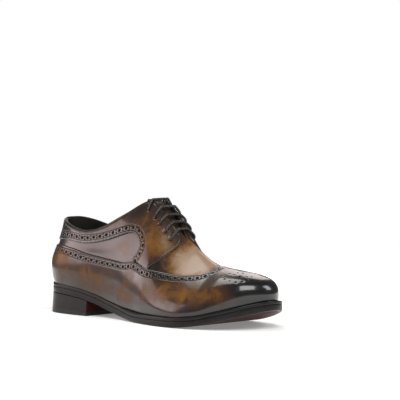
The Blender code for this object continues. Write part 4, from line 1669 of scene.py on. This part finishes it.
class BROGUE_OT_facings(bpy.types.Operator):
    """Both facings with their collar bands"""
    bl_idname = "brogue.facings"
    bl_label = "Facings"

    def execute(self, context):
        holes, leather = context.scene.brogue_holes, calf_dark(context.scene.brogue_colours)
        rows = make_facing("facing_lateral_leather", LATERAL, holes, leather, painted_shade_black())
        rows += make_facing("facing_medial_leather", MEDIAL, holes, leather, painted_shade_black())
        sew("facing_stitches", rows, holes, sewing_thread(), OVERLAY_TOP - holes.groove)
        return {"FINISHED"}


class BROGUE_OT_tongue(bpy.types.Operator):
    """Tongue under the lacing"""
    bl_idname = "brogue.tongue"
    bl_label = "Tongue"

    def execute(self, context):
        colour = tuple(context.scene.brogue_colours.tongue)
        make_tongue(plain_leather("tongue_calf", colour, 0.6, gloss=0.12), painted_shade_black())
        return {"FINISHED"}


class BROGUE_OT_laces(bpy.types.Operator):
    """One round waxed lace in five bars"""
    bl_idname = "brogue.laces"
    bl_label = "Laces"

    def execute(self, context):
        colour = tuple(context.scene.brogue_colours.lace)
        make_laces(context.scene.brogue_holes, waxed_braid("waxed_lace", colour))
        return {"FINISHED"}


class BROGUE_OT_bottom(bpy.types.Operator):
    """Insole, stitched welt and leather outsole"""
    bl_idname = "brogue.bottom"
    bl_label = "Welt and outsole"

    def execute(self, context):
        holes, colours = context.scene.brogue_holes, context.scene.brogue_colours
        make_insole(shared(plain_leather, "sock", tuple(colours.lining), 0.5))
        make_welt(holes, edge_black(colours), sewing_thread())
        make_outsole(edge_black(colours), bottom_red(colours))
        return {"FINISHED"}


class BROGUE_OT_heel(bpy.types.Operator):
    """Stacked heel with a rubber top piece"""
    bl_idname = "brogue.heel"
    bl_label = "Heel"

    def execute(self, context):
        colours = context.scene.brogue_colours
        rubber = plain_leather("top_piece", (0.012, 0.012, 0.012), 0.42, gloss=0.25)
        make_heel(edge_black(colours), rubber, bottom_red(colours))
        return {"FINISHED"}


class BROGUE_OT_stage(bpy.types.Operator):
    """Pale floor, soft studio light and the camera"""
    bl_idname = "brogue.stage"
    bl_label = "Stage"

    def execute(self, context):
        make_stage(context.scene.brogue_studio)
        return {"FINISHED"}


class BROGUE_PT_panel(bpy.types.Panel):
    """Sizes and colours, then the pieces in the order that they are made"""
    bl_label = "Longwing brogue"
    bl_idname = "BROGUE_PT_panel"
    bl_space_type = "VIEW_3D"
    bl_region_type = "UI"
    bl_category = "Brogue"

    def draw(self, context):
        for group in (context.scene.brogue_holes, context.scene.brogue_colours, context.scene.brogue_studio):
            box = self.layout.box()
            for key in group.__annotations__:
                box.prop(group, key)
        for operator in OPERATORS:
            self.layout.operator(operator.bl_idname)


GROUPS = {"brogue_holes": BrogueHoles, "brogue_colours": BrogueColours, "brogue_studio": BrogueStudio}
OPERATORS = (
    BROGUE_OT_upper, BROGUE_OT_wing, BROGUE_OT_facings, BROGUE_OT_tongue, BROGUE_OT_laces, BROGUE_OT_bottom,
    BROGUE_OT_heel, BROGUE_OT_stage,
)


def register():
    for group in (*GROUPS.values(), *OPERATORS, BROGUE_PT_panel):
        bpy.utils.register_class(group)
    for name, group in GROUPS.items():
        setattr(bpy.types.Scene, name, bpy.props.PointerProperty(type=group))


def unregister():
    for name in GROUPS:
        delattr(bpy.types.Scene, name)
    for group in (BROGUE_PT_panel, *reversed(OPERATORS), *GROUPS.values()):
        bpy.utils.unregister_class(group)


def main():
    register()
    bpy.ops.brogue.upper()
    bpy.ops.brogue.wing()
    bpy.ops.brogue.facings()
    bpy.ops.brogue.tongue()
    bpy.ops.brogue.laces()
    bpy.ops.brogue.bottom()
    bpy.ops.brogue.heel()
    bpy.ops.brogue.stage()


if __name__ == "__main__":
    main()
